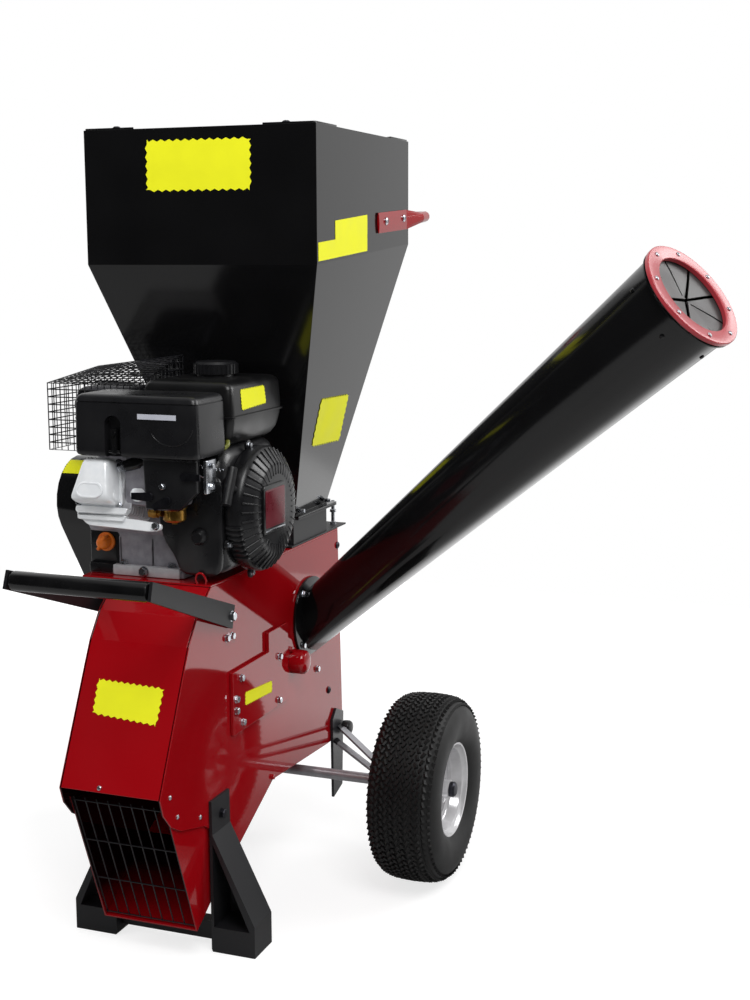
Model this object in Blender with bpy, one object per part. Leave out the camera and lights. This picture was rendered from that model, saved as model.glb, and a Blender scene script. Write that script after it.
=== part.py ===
"""Petrol wood chipper and shredder on two wheels, in metres, +Z up.

+X is the side of the chipper tube, -Y is the front with the discharge mouth and the tow bar.
Heights are measured from the ground. Everything hangs from one empty, which is moved at the
end so that the world origin is the centre of the machine's footprint, on the ground.
"""

import math

import bmesh
import bpy
from mathutils import Matrix, Vector
from mathutils.geometry import tessellate_polygon

# ---------------------------------------------------------------- driving dimensions
FIT = 0.0003            # gap between faces that touch
PLATE = 0.003           # side plates and deck
SHEET = 0.0025          # folded sheet
ROUND = 24              # sides of a round piece, a multiple of four

BODY_HALF = 0.0858      # half the width over the side plates
WHEEL_R = 0.165         # 13 x 5.00-6 turf tyre
TYRE_HALF = 0.0635
WHEEL_X = {"right": 0.3095, "left": -0.25}
AXLE_Y = 0.387
AXLE_R = 0.0095
TYRE_CLEAR = 0.0033     # between the left tyre and the belt guard

ROTOR_Y = 0.318
ROTOR_R = 0.160
SHAFT_R = 0.0125
PIN_RING = 0.100        # radius of the circle of hammer pins
PIN_R = 0.006
HAMMER_REACH = 0.055
HAMMER_HALF = 0.016

CRANK_Y = 0.118
CRANK_UP = 0.106        # crankshaft over the deck
CRANK_R = 0.0095
BELT_X = -0.1735        # plane of the belt
BELT_HALF = 0.0065
BELT_DEEP = 0.008
DRIVE_R = 0.034         # groove bottom of the engine pulley
DRIVEN_R = 0.0465       # groove bottom of the rotor pulley
GUARD_R = {"engine": 0.070, "rotor": 0.067}

THROAT = (0.333, 0.484)  # front and rear of the hopper's foot
HOPPER_HALF = 0.205
HOPPER_Y = (0.158, 0.587)
HOPPER_HEIGHT = 0.703   # rim over the deck
FOLD_UP = (0.488, 0.522)  # front and rear fold over the deck
COLLAR_HEIGHT = 0.053

TUBE_Y = 0.398          # centre of the chipper tube's foot
TUBE_UP = 0.051         # the same, over the rotor shaft
TUBE_AZIMUTH = math.radians(-21)
TUBE_SLOPE = math.radians(38.4)
TUBE_LENGTH = 0.950
TUBE_BASE_R = 0.0425
TUBE_MOUTH_R = 0.080
MOUTH_RING_R = 0.0863

TOW_PIVOT_Y = 0.0645
TOW_PIVOT_DOWN = 0.0610  # pivot below the deck's top
TOW_REACH = 0.2925
TOW_RISE = 0.1030
GRIP_HALF = 0.114
GRIP_R = 0.0145

# ---------------------------------------------------------------- sizes worked out
AXLE_Z = WHEEL_R
ROTOR_RISE = max(
    math.sqrt((WHEEL_R + GUARD_R["rotor"] + TYRE_CLEAR) ** 2 - (AXLE_Y - ROTOR_Y) ** 2),
    ROTOR_R + 0.040 + AXLE_R + 0.005,
)
ROTOR_Z = AXLE_Z + ROTOR_RISE
DECK_Z = ROTOR_Z + ROTOR_R + 0.041
CRANK_Z = DECK_Z + CRANK_UP
INNER_HALF = BODY_HALF - PLATE - FIT  # half width of what lies between the side plates
TOW_PIVOT = Vector((0, TOW_PIVOT_Y, DECK_Z - TOW_PIVOT_DOWN))
ROTOR_CENTRE = Vector((0, ROTOR_Y, ROTOR_Z))
CRANK_CENTRE = Vector((0, CRANK_Y, CRANK_Z))

FRONT_EDGE = [  # the hood, from the deck down to its lip
    (0.007, DECK_Z - PLATE - FIT),
    (-0.040, DECK_Z - 0.041),
    (-0.069, DECK_Z - 0.080),
    (-0.086, DECK_Z - 0.114),
    (-0.169, DECK_Z - 0.286),
]
CURL = [  # the side plates' curl under the lip
    (-0.160, DECK_Z - 0.313),
    (-0.138, DECK_Z - 0.338),
    (-0.108, DECK_Z - 0.355),
]
CHUTE_JOIN = (0.089, ROTOR_Z - 0.253)
CHUTE_BEND = (-0.019, ROTOR_Z - 0.316)
CHUTE_END = (-0.057, ROTOR_Z - 0.338)
REAR_EDGE = [  # the back sheet, from the deck round the rotor to the chute
    (0.530, DECK_Z - PLATE - FIT),
    (0.550, ROTOR_Z - ROTOR_R - 0.041),
    (0.470, ROTOR_Z - ROTOR_R - 0.040),
    (0.227, ROTOR_Z - ROTOR_R - 0.026),
    CHUTE_JOIN,
]

# ---------------------------------------------------------------- finishes
FINISHES = {
    "red_paint": ((0.42, 0.012, 0.018), 0.28, 0.0),
    "black_paint": ((0.012, 0.012, 0.013), 0.30, 0.0),
    "black_plastic": ((0.022, 0.022, 0.024), 0.45, 0.0),
    "cast_aluminium": ((0.52, 0.52, 0.53), 0.42, 1.0),
    "bright_steel": ((0.62, 0.62, 0.64), 0.28, 1.0),
    "tool_steel": ((0.33, 0.33, 0.35), 0.38, 1.0),
    "rubber": ((0.016, 0.016, 0.017), 0.75, 0.0),
    "orange_plastic": ((0.80, 0.22, 0.02), 0.40, 0.0),
    "grey_wire": ((0.20, 0.20, 0.21), 0.45, 1.0),
}


def finish_of(name):
    """The Principled material of one finish, made once."""
    if name in bpy.data.materials:
        return bpy.data.materials[name]
    colour, roughness, metallic = FINISHES[name]
    material = bpy.data.materials.new(name)
    material.use_nodes = True
    shader = material.node_tree.nodes["Principled BSDF"]
    shader.inputs["Base Color"].default_value = (*colour, 1.0)
    shader.inputs["Roughness"].default_value = roughness
    shader.inputs["Metallic"].default_value = metallic
    return material


# ---------------------------------------------------------------- bodies and objects
BODIES = {}


def add_body(name, pivot, parent=None):
    """An empty on a joint's axis, which the pieces of one rigid body hang from."""
    empty = bpy.data.objects.new("body_" + name, None)
    bpy.context.scene.collection.objects.link(empty)
    pivot = Vector(pivot)
    empty.location = pivot
    if parent:
        empty.parent = BODIES[parent][0]
        empty.location = pivot - BODIES[parent][1]
    BODIES[name] = (empty, pivot)


def add_solid(name, bm, finish, body="machine", round_piece=False):
    """Turns a bmesh in machine coordinates into a named object whose origin is its body's pivot."""
    empty, pivot = BODIES[body]
    bmesh.ops.translate(bm, vec=-pivot, verts=bm.verts)
    mesh = bpy.data.meshes.new(name)
    bm.to_mesh(mesh)
    bm.free()
    if round_piece:
        mesh.shade_smooth()
        mesh.set_sharp_from_angle(angle=math.radians(35))
    mesh.materials.append(finish_of(finish))
    solid = bpy.data.objects.new(name, mesh)
    bpy.context.scene.collection.objects.link(solid)
    solid.parent = empty
    return solid


def combine(solid, bm, operation, body="machine"):
    """Unites a second shape with a solid, or cuts it away."""
    tool = add_solid("tool_" + solid.name + str(len(solid.modifiers)), bm, "tool_steel", body)
    tool.hide_render = True
    tool.display_type = "WIRE"
    modifier = solid.modifiers.new(operation.lower(), "BOOLEAN")
    modifier.operation = operation
    modifier.solver = "EXACT"
    modifier.object = tool


# ---------------------------------------------------------------- shapes
def closed(bm):
    bmesh.ops.recalc_face_normals(bm, faces=bm.faces)
    if bm.calc_volume(signed=True) < 0:
        bmesh.ops.reverse_faces(bm, faces=bm.faces)
    return bm


def spot(axis, level, a, b):
    """A point at a level along one axis, with its two other coordinates in X, Y, Z order."""
    return {"x": (level, a, b), "y": (a, level, b), "z": (a, b, level)}[axis]


def prism(axis, outline, low, high, holes=()):
    """A flat plate or block: an outline with holes, extruded along an axis."""
    bm = bmesh.new()
    loops = [list(outline)] + [list(hole) for hole in holes]
    flat = [[Vector((a, b, 0)) for a, b in loop] for loop in loops]
    levels = [
        [bm.verts.new(spot(axis, level, a, b)) for loop in loops for a, b in loop]
        for level in (low, high)
    ]
    for triangle in tessellate_polygon(flat):
        for level in levels:
            bm.faces.new([level[i] for i in triangle])
    first = 0
    for loop in loops:
        for k in range(len(loop)):
            i = first + k
            j = first + (k + 1) % len(loop)
            bm.faces.new([levels[0][i], levels[0][j], levels[1][j], levels[1][i]])
        first += len(loop)
    return closed(bm)


def box(low, high):
    corners = [(low[0], low[1]), (high[0], low[1]), (high[0], high[1]), (low[0], high[1])]
    return prism("z", corners, low[2], high[2])


def join_loops(bm, first, second):
    """Faces between two loops of vertices, either of which may be a single point."""
    count = max(len(first), len(second))
    for k in range(count):
        quad = [first[k % len(first)], first[(k + 1) % len(first)]]
        quad += [second[(k + 1) % len(second)], second[k % len(second)]]
        bm.faces.new(list(dict.fromkeys(quad)))


def loft(rings, ring=False):
    """A skin through rings of points. Its ends are capped, or joined to each other."""
    bm = bmesh.new()
    loops = [[bm.verts.new(point) for point in points] for points in rings]
    pairs = list(zip(loops, loops[1:]))
    if ring:
        pairs.append((loops[-1], loops[0]))
    for first, second in pairs:
        join_loops(bm, first, second)
    if not ring:
        for end in (loops[0], loops[-1]):
            if len(end) > 1:
                bm.faces.new(end)
    return closed(bm)


def turned(profile, start, direction, sides=ROUND, ring=False):
    """A turned shape: pairs of reach along the axis and radius. Radius 0 closes it on the axis."""
    along = Vector(direction).normalized()
    reference = Vector((0, 0, 1)) if abs(along.z) < 0.9 else Vector((1, 0, 0))
    side = reference.cross(along).normalized()
    up = along.cross(side)
    rings = []
    for reach, radius in profile:
        centre = Vector(start) + along * reach
        if radius == 0:
            rings.append([centre])
            continue
        angles = [2 * math.pi * k / sides for k in range(sides)]
        rings.append([centre + radius * (math.cos(a) * side + math.sin(a) * up) for a in angles])
    return loft(rings, ring)


def rod(start, end, radius, sides=ROUND):
    length = (Vector(end) - Vector(start)).length
    profile = [(0, radius), (length, radius)]
    return turned(profile, start, Vector(end) - Vector(start), sides)


def circle(centre, radius, sides=ROUND):
    angles = [2 * math.pi * k / sides for k in range(sides)]
    return [(centre[0] + radius * math.cos(a), centre[1] + radius * math.sin(a)) for a in angles]


def rectangle(low, high):
    return [(low[0], low[1]), (high[0], low[1]), (high[0], high[1]), (low[0], high[1])]


def squircle(radius, power, sides=ROUND):
    """Points round a circle that swells towards a square as the power rises."""
    points = []
    for k in range(sides):
        a = 2 * math.pi * k / sides
        swell = (abs(math.cos(a)) ** power + abs(math.sin(a)) ** power) ** (-1 / power)
        points.append((radius * swell * math.cos(a), radius * swell * math.sin(a)))
    return points


def offset_path(path, distance):
    """The path moved sideways to its left, with mitred corners."""
    moved = []
    for k, point in enumerate(path):
        before = Vector(path[max(k - 1, 0)])
        after = Vector(path[min(k + 1, len(path) - 1)])
        here = Vector(point)
        first = (here - before) if k else (after - here)
        second = (after - here) if k < len(path) - 1 else first
        normals = [Vector((-v.y, v.x)).normalized() for v in (first, second)]
        middle = (normals[0] + normals[1]).normalized()
        moved.append(tuple(here + middle * distance / middle.dot(normals[0])))
    return moved


def round_pulleys(centre_1, radius_1, centre_2, radius_2, sides=10):
    """A loop that runs tangent round two circles, as a belt does."""
    step = Vector(centre_2) - Vector(centre_1)
    heading = math.atan2(step.y, step.x)
    spread = math.acos((radius_1 - radius_2) / step.length)
    points = []
    for k in range(sides + 1):
        a = heading + spread + (2 * math.pi - 2 * spread) * k / sides
        points.append((centre_1[0] + radius_1 * math.cos(a), centre_1[1] + radius_1 * math.sin(a)))
    for k in range(sides + 1):
        a = heading - spread + 2 * spread * k / sides
        points.append((centre_2[0] + radius_2 * math.cos(a), centre_2[1] + radius_2 * math.sin(a)))
    return points


def cup(outer, inner):
    """A shell with one open side: the outer rings from its floor to its mouth, then the inner."""
    return loft(outer + inner[::-1])


def at_level(points, level):
    return [(level, a, b) for a, b in points]


# ---------------------------------------------------------------- housing
def tube_hole():
    """The opening in the right side plate behind the chipper tube."""
    centre = (TUBE_Y, ROTOR_Z + TUBE_UP)
    return [(centre[0] + a, centre[1] + b) for a, b in squircle(TUBE_BASE_R - 0.006, 4)]


def side_plate(name, sign):
    outline = FRONT_EDGE + CURL + [(-0.030, ROTOR_Z - 0.175)] + REAR_EDGE[::-1]
    holes = [circle((ROTOR_Y, ROTOR_Z), SHAFT_R + 0.0085)]
    if sign > 0:
        holes.append(tube_hole())
    faces = sorted((sign * BODY_HALF, sign * (BODY_HALF - PLATE)))
    add_solid(name, prism("x", outline, *faces, holes), "red_paint")


def front_hood():
    outline = FRONT_EDGE + offset_path(FRONT_EDGE, SHEET)[::-1]
    add_solid("front_hood", prism("x", outline, -INNER_HALF, INNER_HALF), "red_paint")


def rear_sheet():
    outline = REAR_EDGE + offset_path(REAR_EDGE, -SHEET)[::-1]
    add_solid("rear_sheet", prism("x", outline, -INNER_HALF, INNER_HALF), "red_paint")


def deck_plate():
    outline = rectangle((-0.142, 0.007), (BODY_HALF, 0.530))
    throat = rectangle((-BODY_HALF + 0.008, THROAT[0] + 0.006), (BODY_HALF - 0.008, THROAT[1] - 0.006))
    add_solid("deck_plate", prism("z", outline, DECK_Z - PLATE, DECK_Z, [throat]), "red_paint")


def discharge_chute():
    """An open channel below the hood: a floor and two side walls."""
    slope = (Vector(CHUTE_BEND) - Vector(CHUTE_JOIN)).normalized()
    start = Vector(CHUTE_JOIN) + 0.0006 * slope
    floor = [tuple(start), CHUTE_BEND, CHUTE_END]
    lip = (-0.146, DECK_Z - 0.308)
    outline = floor + [lip, (0.050, ROTOR_Z - 0.150)]
    chute = add_solid("discharge_chute", prism("x", outline, -INNER_HALF, INNER_HALF), "red_paint")
    end = (Vector(CHUTE_END) - Vector(CHUTE_BEND)).normalized()
    long_floor = [tuple(start - 0.02 * slope), CHUTE_BEND, tuple(Vector(CHUTE_END) + 0.02 * end)]
    inside = offset_path(long_floor, -SHEET) + [(-0.30, ROTOR_Z - 0.2), (-0.2, ROTOR_Z), (0.12, ROTOR_Z)]
    half = INNER_HALF - SHEET
    combine(chute, prism("x", inside, -half, half), "DIFFERENCE")


def discharge_grille():
    """Upright wires and cross wires across the mouth, as one welded lattice."""
    foot = Vector((0, CHUTE_END[0] + 0.004, CHUTE_END[1] + 0.006))
    head = Vector((0, -0.141, DECK_Z - 0.309))
    length = (head - foot).length
    wire = 0.0026
    half = INNER_HALF - SHEET - FIT
    across = [-half + wire + (2 * half - 2 * wire) * k / 8 for k in range(9)]
    along = [0.0, 0.075, 0.155, length - wire]
    holes = []
    for left, right in zip(across, across[1:]):
        for low, high in zip(along, along[1:]):
            holes.append(rectangle((left + wire / 2, low + wire), (right - wire / 2, high)))
    bm = prism("z", rectangle((-half, 0), (half, length)), 0, wire, holes)
    up = (head - foot).normalized()
    turn = Matrix((Vector((1, 0, 0)), up, Vector((1, 0, 0)).cross(up))).transposed().to_4x4()
    bm.transform(Matrix.Translation(foot) @ turn)
    add_solid("discharge_grille", bm, "grey_wire")


def access_cover():
    bottom, step, top = ROTOR_Z - 0.058, ROTOR_Z + 0.046, ROTOR_Z + 0.079
    front = [(0.204, top), (0.204, step), (0.066, step), (0.066, bottom)]
    outline = [(0.283, bottom), (0.283, top)] + front
    x = BODY_HALF + FIT
    add_solid("access_cover", prism("x", outline, x, x + 0.006), "red_paint")


def bearings():
    bore = SHAFT_R + FIT
    boss = SHAFT_R + 0.009
    blind = [(0.030, 0), (0.030, boss - 0.002), (0.027, boss), (0, boss), (0, bore), (0.022, bore), (0.022, 0)]
    start = (BODY_HALF + FIT, ROTOR_Y, ROTOR_Z)
    add_solid("bearing_right", turned(blind, start, (1, 0, 0)), "red_paint", round_piece=True)
    through = [(0, bore), (0, boss + 0.012), (0.005, boss + 0.012), (0.005, boss), (0.024, boss), (0.024, bore)]
    start = (-BODY_HALF - FIT, ROTOR_Y, ROTOR_Z)
    bm = turned(through, start, (-1, 0, 0), ring=True)
    add_solid("bearing_left", bm, "cast_aluminium", round_piece=True)


# ---------------------------------------------------------------- rotor
def pin_centre(number):
    a = math.radians(90 + 120 * number)
    return ROTOR_CENTRE + Vector((0, PIN_RING * math.cos(a), PIN_RING * math.sin(a)))


DISC_X = 0.060          # knife disc: left face
DISC_THICK = 0.010
CARRIER_X = -0.062      # hammer carrier: left face
CARRIER_THICK = 0.008


def knife_disc_x():
    """Left face of the knife disc, a knife and its clearance inside the right side plate."""
    return DISC_X + BODY_HALF - 0.0858


def rotor_shaft():
    ends = (BELT_X - 0.0165, ROTOR_Y, ROTOR_Z), (BODY_HALF + 0.014, ROTOR_Y, ROTOR_Z)
    add_solid("rotor_shaft", rod(*ends, SHAFT_R), "tool_steel", "rotor", True)


def knife_disc():
    bore, hub = SHAFT_R + FIT, SHAFT_R + 0.0155
    x = knife_disc_x()
    profile = [(-0.015, bore), (-0.015, hub), (0, hub), (0, ROTOR_R), (DISC_THICK, ROTOR_R), (DISC_THICK, bore)]
    bm = turned(profile, (x, ROTOR_Y, ROTOR_Z), (1, 0, 0), 32, ring=True)
    add_solid("knife_disc", bm, "tool_steel", "rotor", True)


def chipper_knife(number):
    """One flat knife on the face of the disc, with a ground edge."""
    x = knife_disc_x() + DISC_THICK + FIT
    edge = [(-0.018, 0), (0.018, 0), (0.018, 0.0055), (-0.008, 0.0055)]
    rings = []
    for reach in (SHAFT_R + 0.022, ROTOR_R - 0.018):
        sign = 1 if number == 1 else -1
        rings.append([(x + up, ROTOR_Y + sign * reach, ROTOR_Z + sign * side) for side, up in edge])
    add_solid(f"chipper_knife_{number}", loft(rings), "bright_steel", "rotor")


def hammer_carrier():
    """The left disc of the rotor with the three hammer pins welded to it."""
    bore, hub = SHAFT_R + FIT, SHAFT_R + 0.0155
    radius = PIN_RING + 0.025
    x = CARRIER_X - (BODY_HALF - 0.0858)
    thick = CARRIER_THICK
    profile = [(0, bore), (0, radius), (thick, radius), (thick, hub), (thick + 0.014, hub), (thick + 0.014, bore)]
    bm = turned(profile, (x, ROTOR_Y, ROTOR_Z), (1, 0, 0), 32, ring=True)
    carrier = add_solid("hammer_carrier", bm, "tool_steel", "rotor", True)
    for number in range(3):
        y, z = pin_centre(number).yz
        pin = rod((x + thick / 2, y, z), (knife_disc_x() - FIT, y, z), PIN_R, 12)
        combine(carrier, pin, "UNION", "rotor")


def hammer(number):
    """A swinging hammer, hanging from its pin."""
    y, z = pin_centre(number).yz
    crown = [math.radians(a) for a in range(0, 181, 30)]
    head = [(y + HAMMER_HALF * math.cos(a), z + HAMMER_HALF * math.sin(a)) for a in crown]
    outline = head + [(y - HAMMER_HALF, z - HAMMER_REACH), (y + HAMMER_HALF, z - HAMMER_REACH)]
    bm = prism("x", outline, -0.016, 0.012, [circle((y, z), PIN_R + FIT, 12)])
    add_solid(f"hammer_{number + 1}", bm, "bright_steel", f"hammer_{number + 1}")


# ---------------------------------------------------------------- belt drive
def pulley(name, centre, groove, bore, body):
    """A pulley with one groove, whose rims stand a belt's depth above its bottom."""
    rim = groove + BELT_DEEP
    half = BELT_HALF + 0.0005
    wall = half + 0.005
    profile = [(-wall, bore), (-wall, rim), (-half, rim), (-half, groove), (half, groove), (half, rim)]
    profile += [(wall, rim), (wall, bore)]
    bm = turned(profile, (BELT_X, centre.y, centre.z), (1, 0, 0), ring=True)
    add_solid(name, bm, "tool_steel", body, True)


def drive_belt():
    centres = tuple(CRANK_CENTRE.yz), tuple(ROTOR_CENTRE.yz)
    loops = []
    for depth in (0.0012, BELT_DEEP + 0.001):
        loops.append(round_pulleys(centres[0], DRIVE_R + depth, centres[1], DRIVEN_R + depth))
    inner, outer = loops
    bm = prism("x", outer, BELT_X - BELT_HALF, BELT_X + BELT_HALF, [inner])
    add_solid("drive_belt", bm, "rubber")


def belt_guard():
    """A deep pan over both pulleys, open towards the machine."""
    centres = tuple(CRANK_CENTRE.yz), tuple(ROTOR_CENTRE.yz)
    outlines = []
    for wall in (0, SHEET):
        radii = GUARD_R["engine"] - wall, GUARD_R["rotor"] - wall
        outlines.append(round_pulleys(centres[0], radii[0], centres[1], radii[1], 12))
    floor, mouth = BELT_X - 0.038, -0.1425
    outer = [at_level(outlines[0], floor), at_level(outlines[0], mouth)]
    inner = [at_level(outlines[1], floor + SHEET), at_level(outlines[1], mouth)]
    add_solid("belt_guard", cup(outer, inner), "black_paint")


# ---------------------------------------------------------------- engine
HEAD_TILT = math.radians(18)
HEAD_X = (-0.117, -0.037)
CASE_X = (-0.142, 0.028)
SHROUD_X = (CASE_X[1] + FIT, 0.106)
TANK_UP = 0.212         # underside of the fuel tank over the deck


def in_cylinder(reach, up):
    """A point (y, z) by its reach along the cylinder from the crankshaft, and its height across."""
    y = CRANK_Y - reach * math.cos(HEAD_TILT) + up * math.sin(HEAD_TILT)
    return y, CRANK_Z + reach * math.sin(HEAD_TILT) + up * math.cos(HEAD_TILT)


def crankcase():
    base = DECK_Z + FIT
    foot = DECK_Z + 0.0123
    outline = [(0.030, base), (0.206, base), (0.206, foot), (0.196, foot)]
    outline += [(0.196, CRANK_Z + 0.038), (0.165, CRANK_Z + 0.068), (0.092, CRANK_Z + 0.088)]
    outline += [in_cylinder(0.0877, 0.045), in_cylinder(0.0877, -0.045)]
    outline += [(0.040, CRANK_Z - 0.044), (0.040, foot), (0.030, foot)]
    bore = circle((CRANK_Y, CRANK_Z), CRANK_R + 0.0055 + FIT)
    add_solid("crankcase", prism("x", outline, *CASE_X, [bore]), "cast_aluminium")


def cylinder_head():
    corners = [in_cylinder(reach, up) for reach, up in ((0.088, -0.04), (0.088, 0.04), (0.165, 0.04), (0.165, -0.04))]
    add_solid("cylinder_head", prism("x", corners, *HEAD_X), "cast_aluminium")


def rocker_cover():
    steps = (0.1653, -0.036), (0.1653, 0.036), (0.190, 0.036), (0.205, 0.024), (0.205, -0.024), (0.190, -0.036)
    corners = [in_cylinder(reach, up) for reach, up in steps]
    add_solid("rocker_cover", prism("x", corners, HEAD_X[0] + 0.002, HEAD_X[1] - 0.002), "cast_aluminium")


def crankshaft():
    """Crankshaft and flywheel in one, from the drive end to the recoil starter."""
    journal = CRANK_R + 0.0055
    start = BELT_X - 0.0265
    steps = [(start, 0), (start, CRANK_R), (-0.150, CRANK_R), (-0.150, journal), (0.044, journal)]
    steps += [(0.044, 0.088), (0.082, 0.088), (0.082, 0.020), (0.096, 0.020), (0.096, 0)]
    bm = turned(steps, (0, CRANK_Y, CRANK_Z), (1, 0, 0))
    add_solid("crankshaft", bm, "tool_steel", "crank", True)


def fan_shroud():
    low, high = DECK_Z + 0.012, DECK_Z + TANK_UP
    outline = [(0.026, low), (0.210, low), (0.226, low + 0.03), (0.226, high - 0.03), (0.205, high)]
    outline += [(0.035, high), (0.010, high - 0.03), (0.010, low + 0.03)]
    cavity = circle((CRANK_Y, CRANK_Z), 0.096, 28)
    add_solid("fan_shroud", prism("x", outline, *SHROUD_X, [cavity]), "black_plastic")


def recoil_housing():
    x = SHROUD_X[1] + FIT
    profile = [(0.046, 0), (0.046, 0.068), (0.041, 0.080), (0.024, 0.100), (0, 0.100)]
    profile += [(0, 0.095), (0.022, 0.095), (0.038, 0.077), (0.042, 0)]
    bm = turned(profile, (x, CRANK_Y, CRANK_Z), (1, 0, 0), 28)
    add_solid("recoil_housing", bm, "black_plastic", round_piece=True)


PULL_ANGLE = math.radians(25)
PULL_AXIS = Vector((0, -math.cos(PULL_ANGLE), math.sin(PULL_ANGLE)))


def recoil_grip():
    """The starter's pull grip, parked against the rim of its housing."""
    tangent = Vector((0, math.sin(PULL_ANGLE), math.cos(PULL_ANGLE)))
    seat = Vector((0.119, CRANK_Y, CRANK_Z)) + PULL_AXIS * (0.100 + FIT)
    grip = add_solid("recoil_grip", rod(seat, seat + PULL_AXIS * 0.016, 0.006, 12), "black_plastic", "recoil_pull")
    middle = seat + PULL_AXIS * 0.018
    handle = rod(middle - tangent * 0.030, middle + tangent * 0.030, 0.008, 12)
    combine(grip, handle, "UNION", "recoil_pull")


def rect_ring(x, y, z):
    return [(x[0], y[0], z), (x[1], y[0], z), (x[1], y[1], z), (x[0], y[1], z)]


def air_cleaner():
    low = DECK_Z + 0.204
    rings = [
        rect_ring((-0.094, 0.102), (-0.066, 0.024), low),
        rect_ring((-0.100, 0.108), (-0.072, 0.028), low + 0.010),
        rect_ring((-0.100, 0.108), (-0.072, 0.028), low + 0.080),
        rect_ring((-0.090, 0.098), (-0.062, 0.020), low + 0.094),
    ]
    add_solid("air_cleaner", loft(rings), "black_plastic")


def carburettor():
    body = box((HEAD_X[1] + FIT, -0.040, DECK_Z + 0.1243), (0.062, 0.005, DECK_Z + 0.204 - FIT))
    carburettor_body = add_solid("carburettor", body, "cast_aluminium")
    bowl = rod((0.040, -0.018, DECK_Z + 0.098), (0.040, -0.018, DECK_Z + 0.130), 0.018, 16)
    combine(carburettor_body, bowl, "UNION")


def fuel_tank():
    low = DECK_Z + TANK_UP + FIT
    rings = [
        rect_ring((-0.030, 0.100), (0.044, 0.205), low),
        rect_ring((-0.040, 0.113), (0.032, 0.218), low + 0.018),
        rect_ring((-0.042, 0.116), (0.030, 0.222), low + 0.048),
        rect_ring((-0.036, 0.110), (0.036, 0.214), low + 0.090),
        rect_ring((-0.022, 0.096), (0.050, 0.198), low + 0.100),
    ]
    add_solid("fuel_tank", loft(rings), "black_plastic")


FUEL_CAP = (0.036, 0.139)


def fuel_cap():
    low = DECK_Z + TANK_UP + FIT + 0.100 + FIT
    profile = [(0, 0), (0, 0.034), (0.004, 0.0365), (0.020, 0.0365), (0.024, 0.032), (0.024, 0)]
    bm = turned(profile, (*FUEL_CAP, low), (0, 0, 1))
    add_solid("fuel_cap", bm, "black_plastic", "fuel_cap", True)


def muffler():
    """A pressed box over the exhaust port, open below."""
    low = CRANK_Z + 0.088 + FIT

    def rings(wall):
        narrow, wide = (-0.195 + wall, -0.070 - wall), (-0.205 + wall, -0.060 - wall)
        short, deep = (0.068 + wall, 0.157 - wall), (0.060 + wall, 0.165 - wall)
        rise = [0.100 - wall, 0.085 - wall, 0.015, 0]
        sizes = [(narrow, short), (wide, deep), (wide, deep), (narrow, short)]
        return [rect_ring(x, y, low + up) for (x, y), up in zip(sizes, rise)]

    add_solid("muffler", cup(rings(0), rings(0.002)), "tool_steel")


def muffler_guard():
    """A cage over the muffler, open below, its top rising to the rear."""
    low, front, rear = CRANK_Z + 0.0885, CRANK_Z + 0.198, CRANK_Z + 0.236
    x, y = (-0.212, -0.050), (0.034, 0.192)

    def ring(inset, z_front, z_rear):
        x0, x1, y0, y1 = x[0] + inset, x[1] - inset, y[0] + inset, y[1] - inset
        return [(x0, y0, z_front), (x1, y0, z_front), (x1, y1, z_rear), (x0, y1, z_rear)]

    outer = [ring(0, front, rear), ring(0, low, low)]
    inner = [ring(0.002, front - 0.002, rear - 0.002), ring(0.002, low, low)]
    add_solid("muffler_guard", cup(outer, inner), "grey_wire")


PANEL_Y = (-0.058, -0.046)


def control_panel():
    low, high = DECK_Z + 0.125, DECK_Z + 0.204 - FIT
    outline = [(0.008, low), (0.072, low), (0.100, low + 0.030), (0.100, high), (0.001, high), (0.001, low + 0.010)]
    add_solid("control_panel", prism("y", outline, *PANEL_Y), "black_plastic")


LEVERS = {  # pivot (x, height over the deck), length, heading in degrees
    "choke_lever": ((0.020, 0.145), 0.030, 180),
    "fuel_valve_lever": ((0.050, 0.140), 0.026, 205),
    "throttle_lever": ((0.080, 0.178), 0.026, 0),
}


def lever(name):
    """A flat lever that turns on the front of the control panel."""
    (x, up), length, heading = LEVERS[name]
    z = DECK_Z + up
    a = math.radians(heading)
    along = Vector((math.cos(a), math.sin(a)))
    side = Vector((-along.y, along.x)) * 0.005
    hub = [math.radians(heading + 90 + 30 * k) for k in range(7)]
    outline = [(x + 0.007 * math.cos(h), z + 0.007 * math.sin(h)) for h in hub]
    tip = Vector((x, z)) + along * length
    outline += [tuple(tip - side), tuple(tip + side)]
    front = PANEL_Y[0] - FIT
    add_solid(name, prism("y", outline, front - 0.003, front), "bright_steel", name)


def switch_centre():
    return Vector((0.068, 0.010 - FIT, DECK_Z + 0.075))


def engine_switch():
    profile = [(0, 0), (0, 0.013), (0.005, 0.013), (0.012, 0.009), (0.012, 0)]
    bm = turned(profile, switch_centre(), (0, -1, 0), 16)
    add_solid("engine_switch", bm, "black_plastic", "engine_switch", True)


def oil_plug_centre():
    return Vector((-0.111, 0.040 - FIT, DECK_Z + 0.052))


def oil_plug():
    profile = [(0, 0), (0, 0.010), (0.006, 0.010), (0.006, 0.0155), (0.022, 0.0155), (0.027, 0.011), (0.027, 0)]
    bm = turned(profile, oil_plug_centre(), (0, -1, 0), 16)
    add_solid("oil_plug", bm, "orange_plastic", "oil_plug", True)


# ---------------------------------------------------------------- hopper
def hopper_ring(half, y, z):
    """Four corners of the hopper at one level: half widths and heights at the front and rear."""
    return [(-half[0], y[0], z[0]), (half[0], y[0], z[0]), (half[1], y[1], z[1]), (-half[1], y[1], z[1])]


def plain_ring(half, y, up):
    return hopper_ring((half, half), y, (DECK_Z + up, DECK_Z + up))


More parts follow.
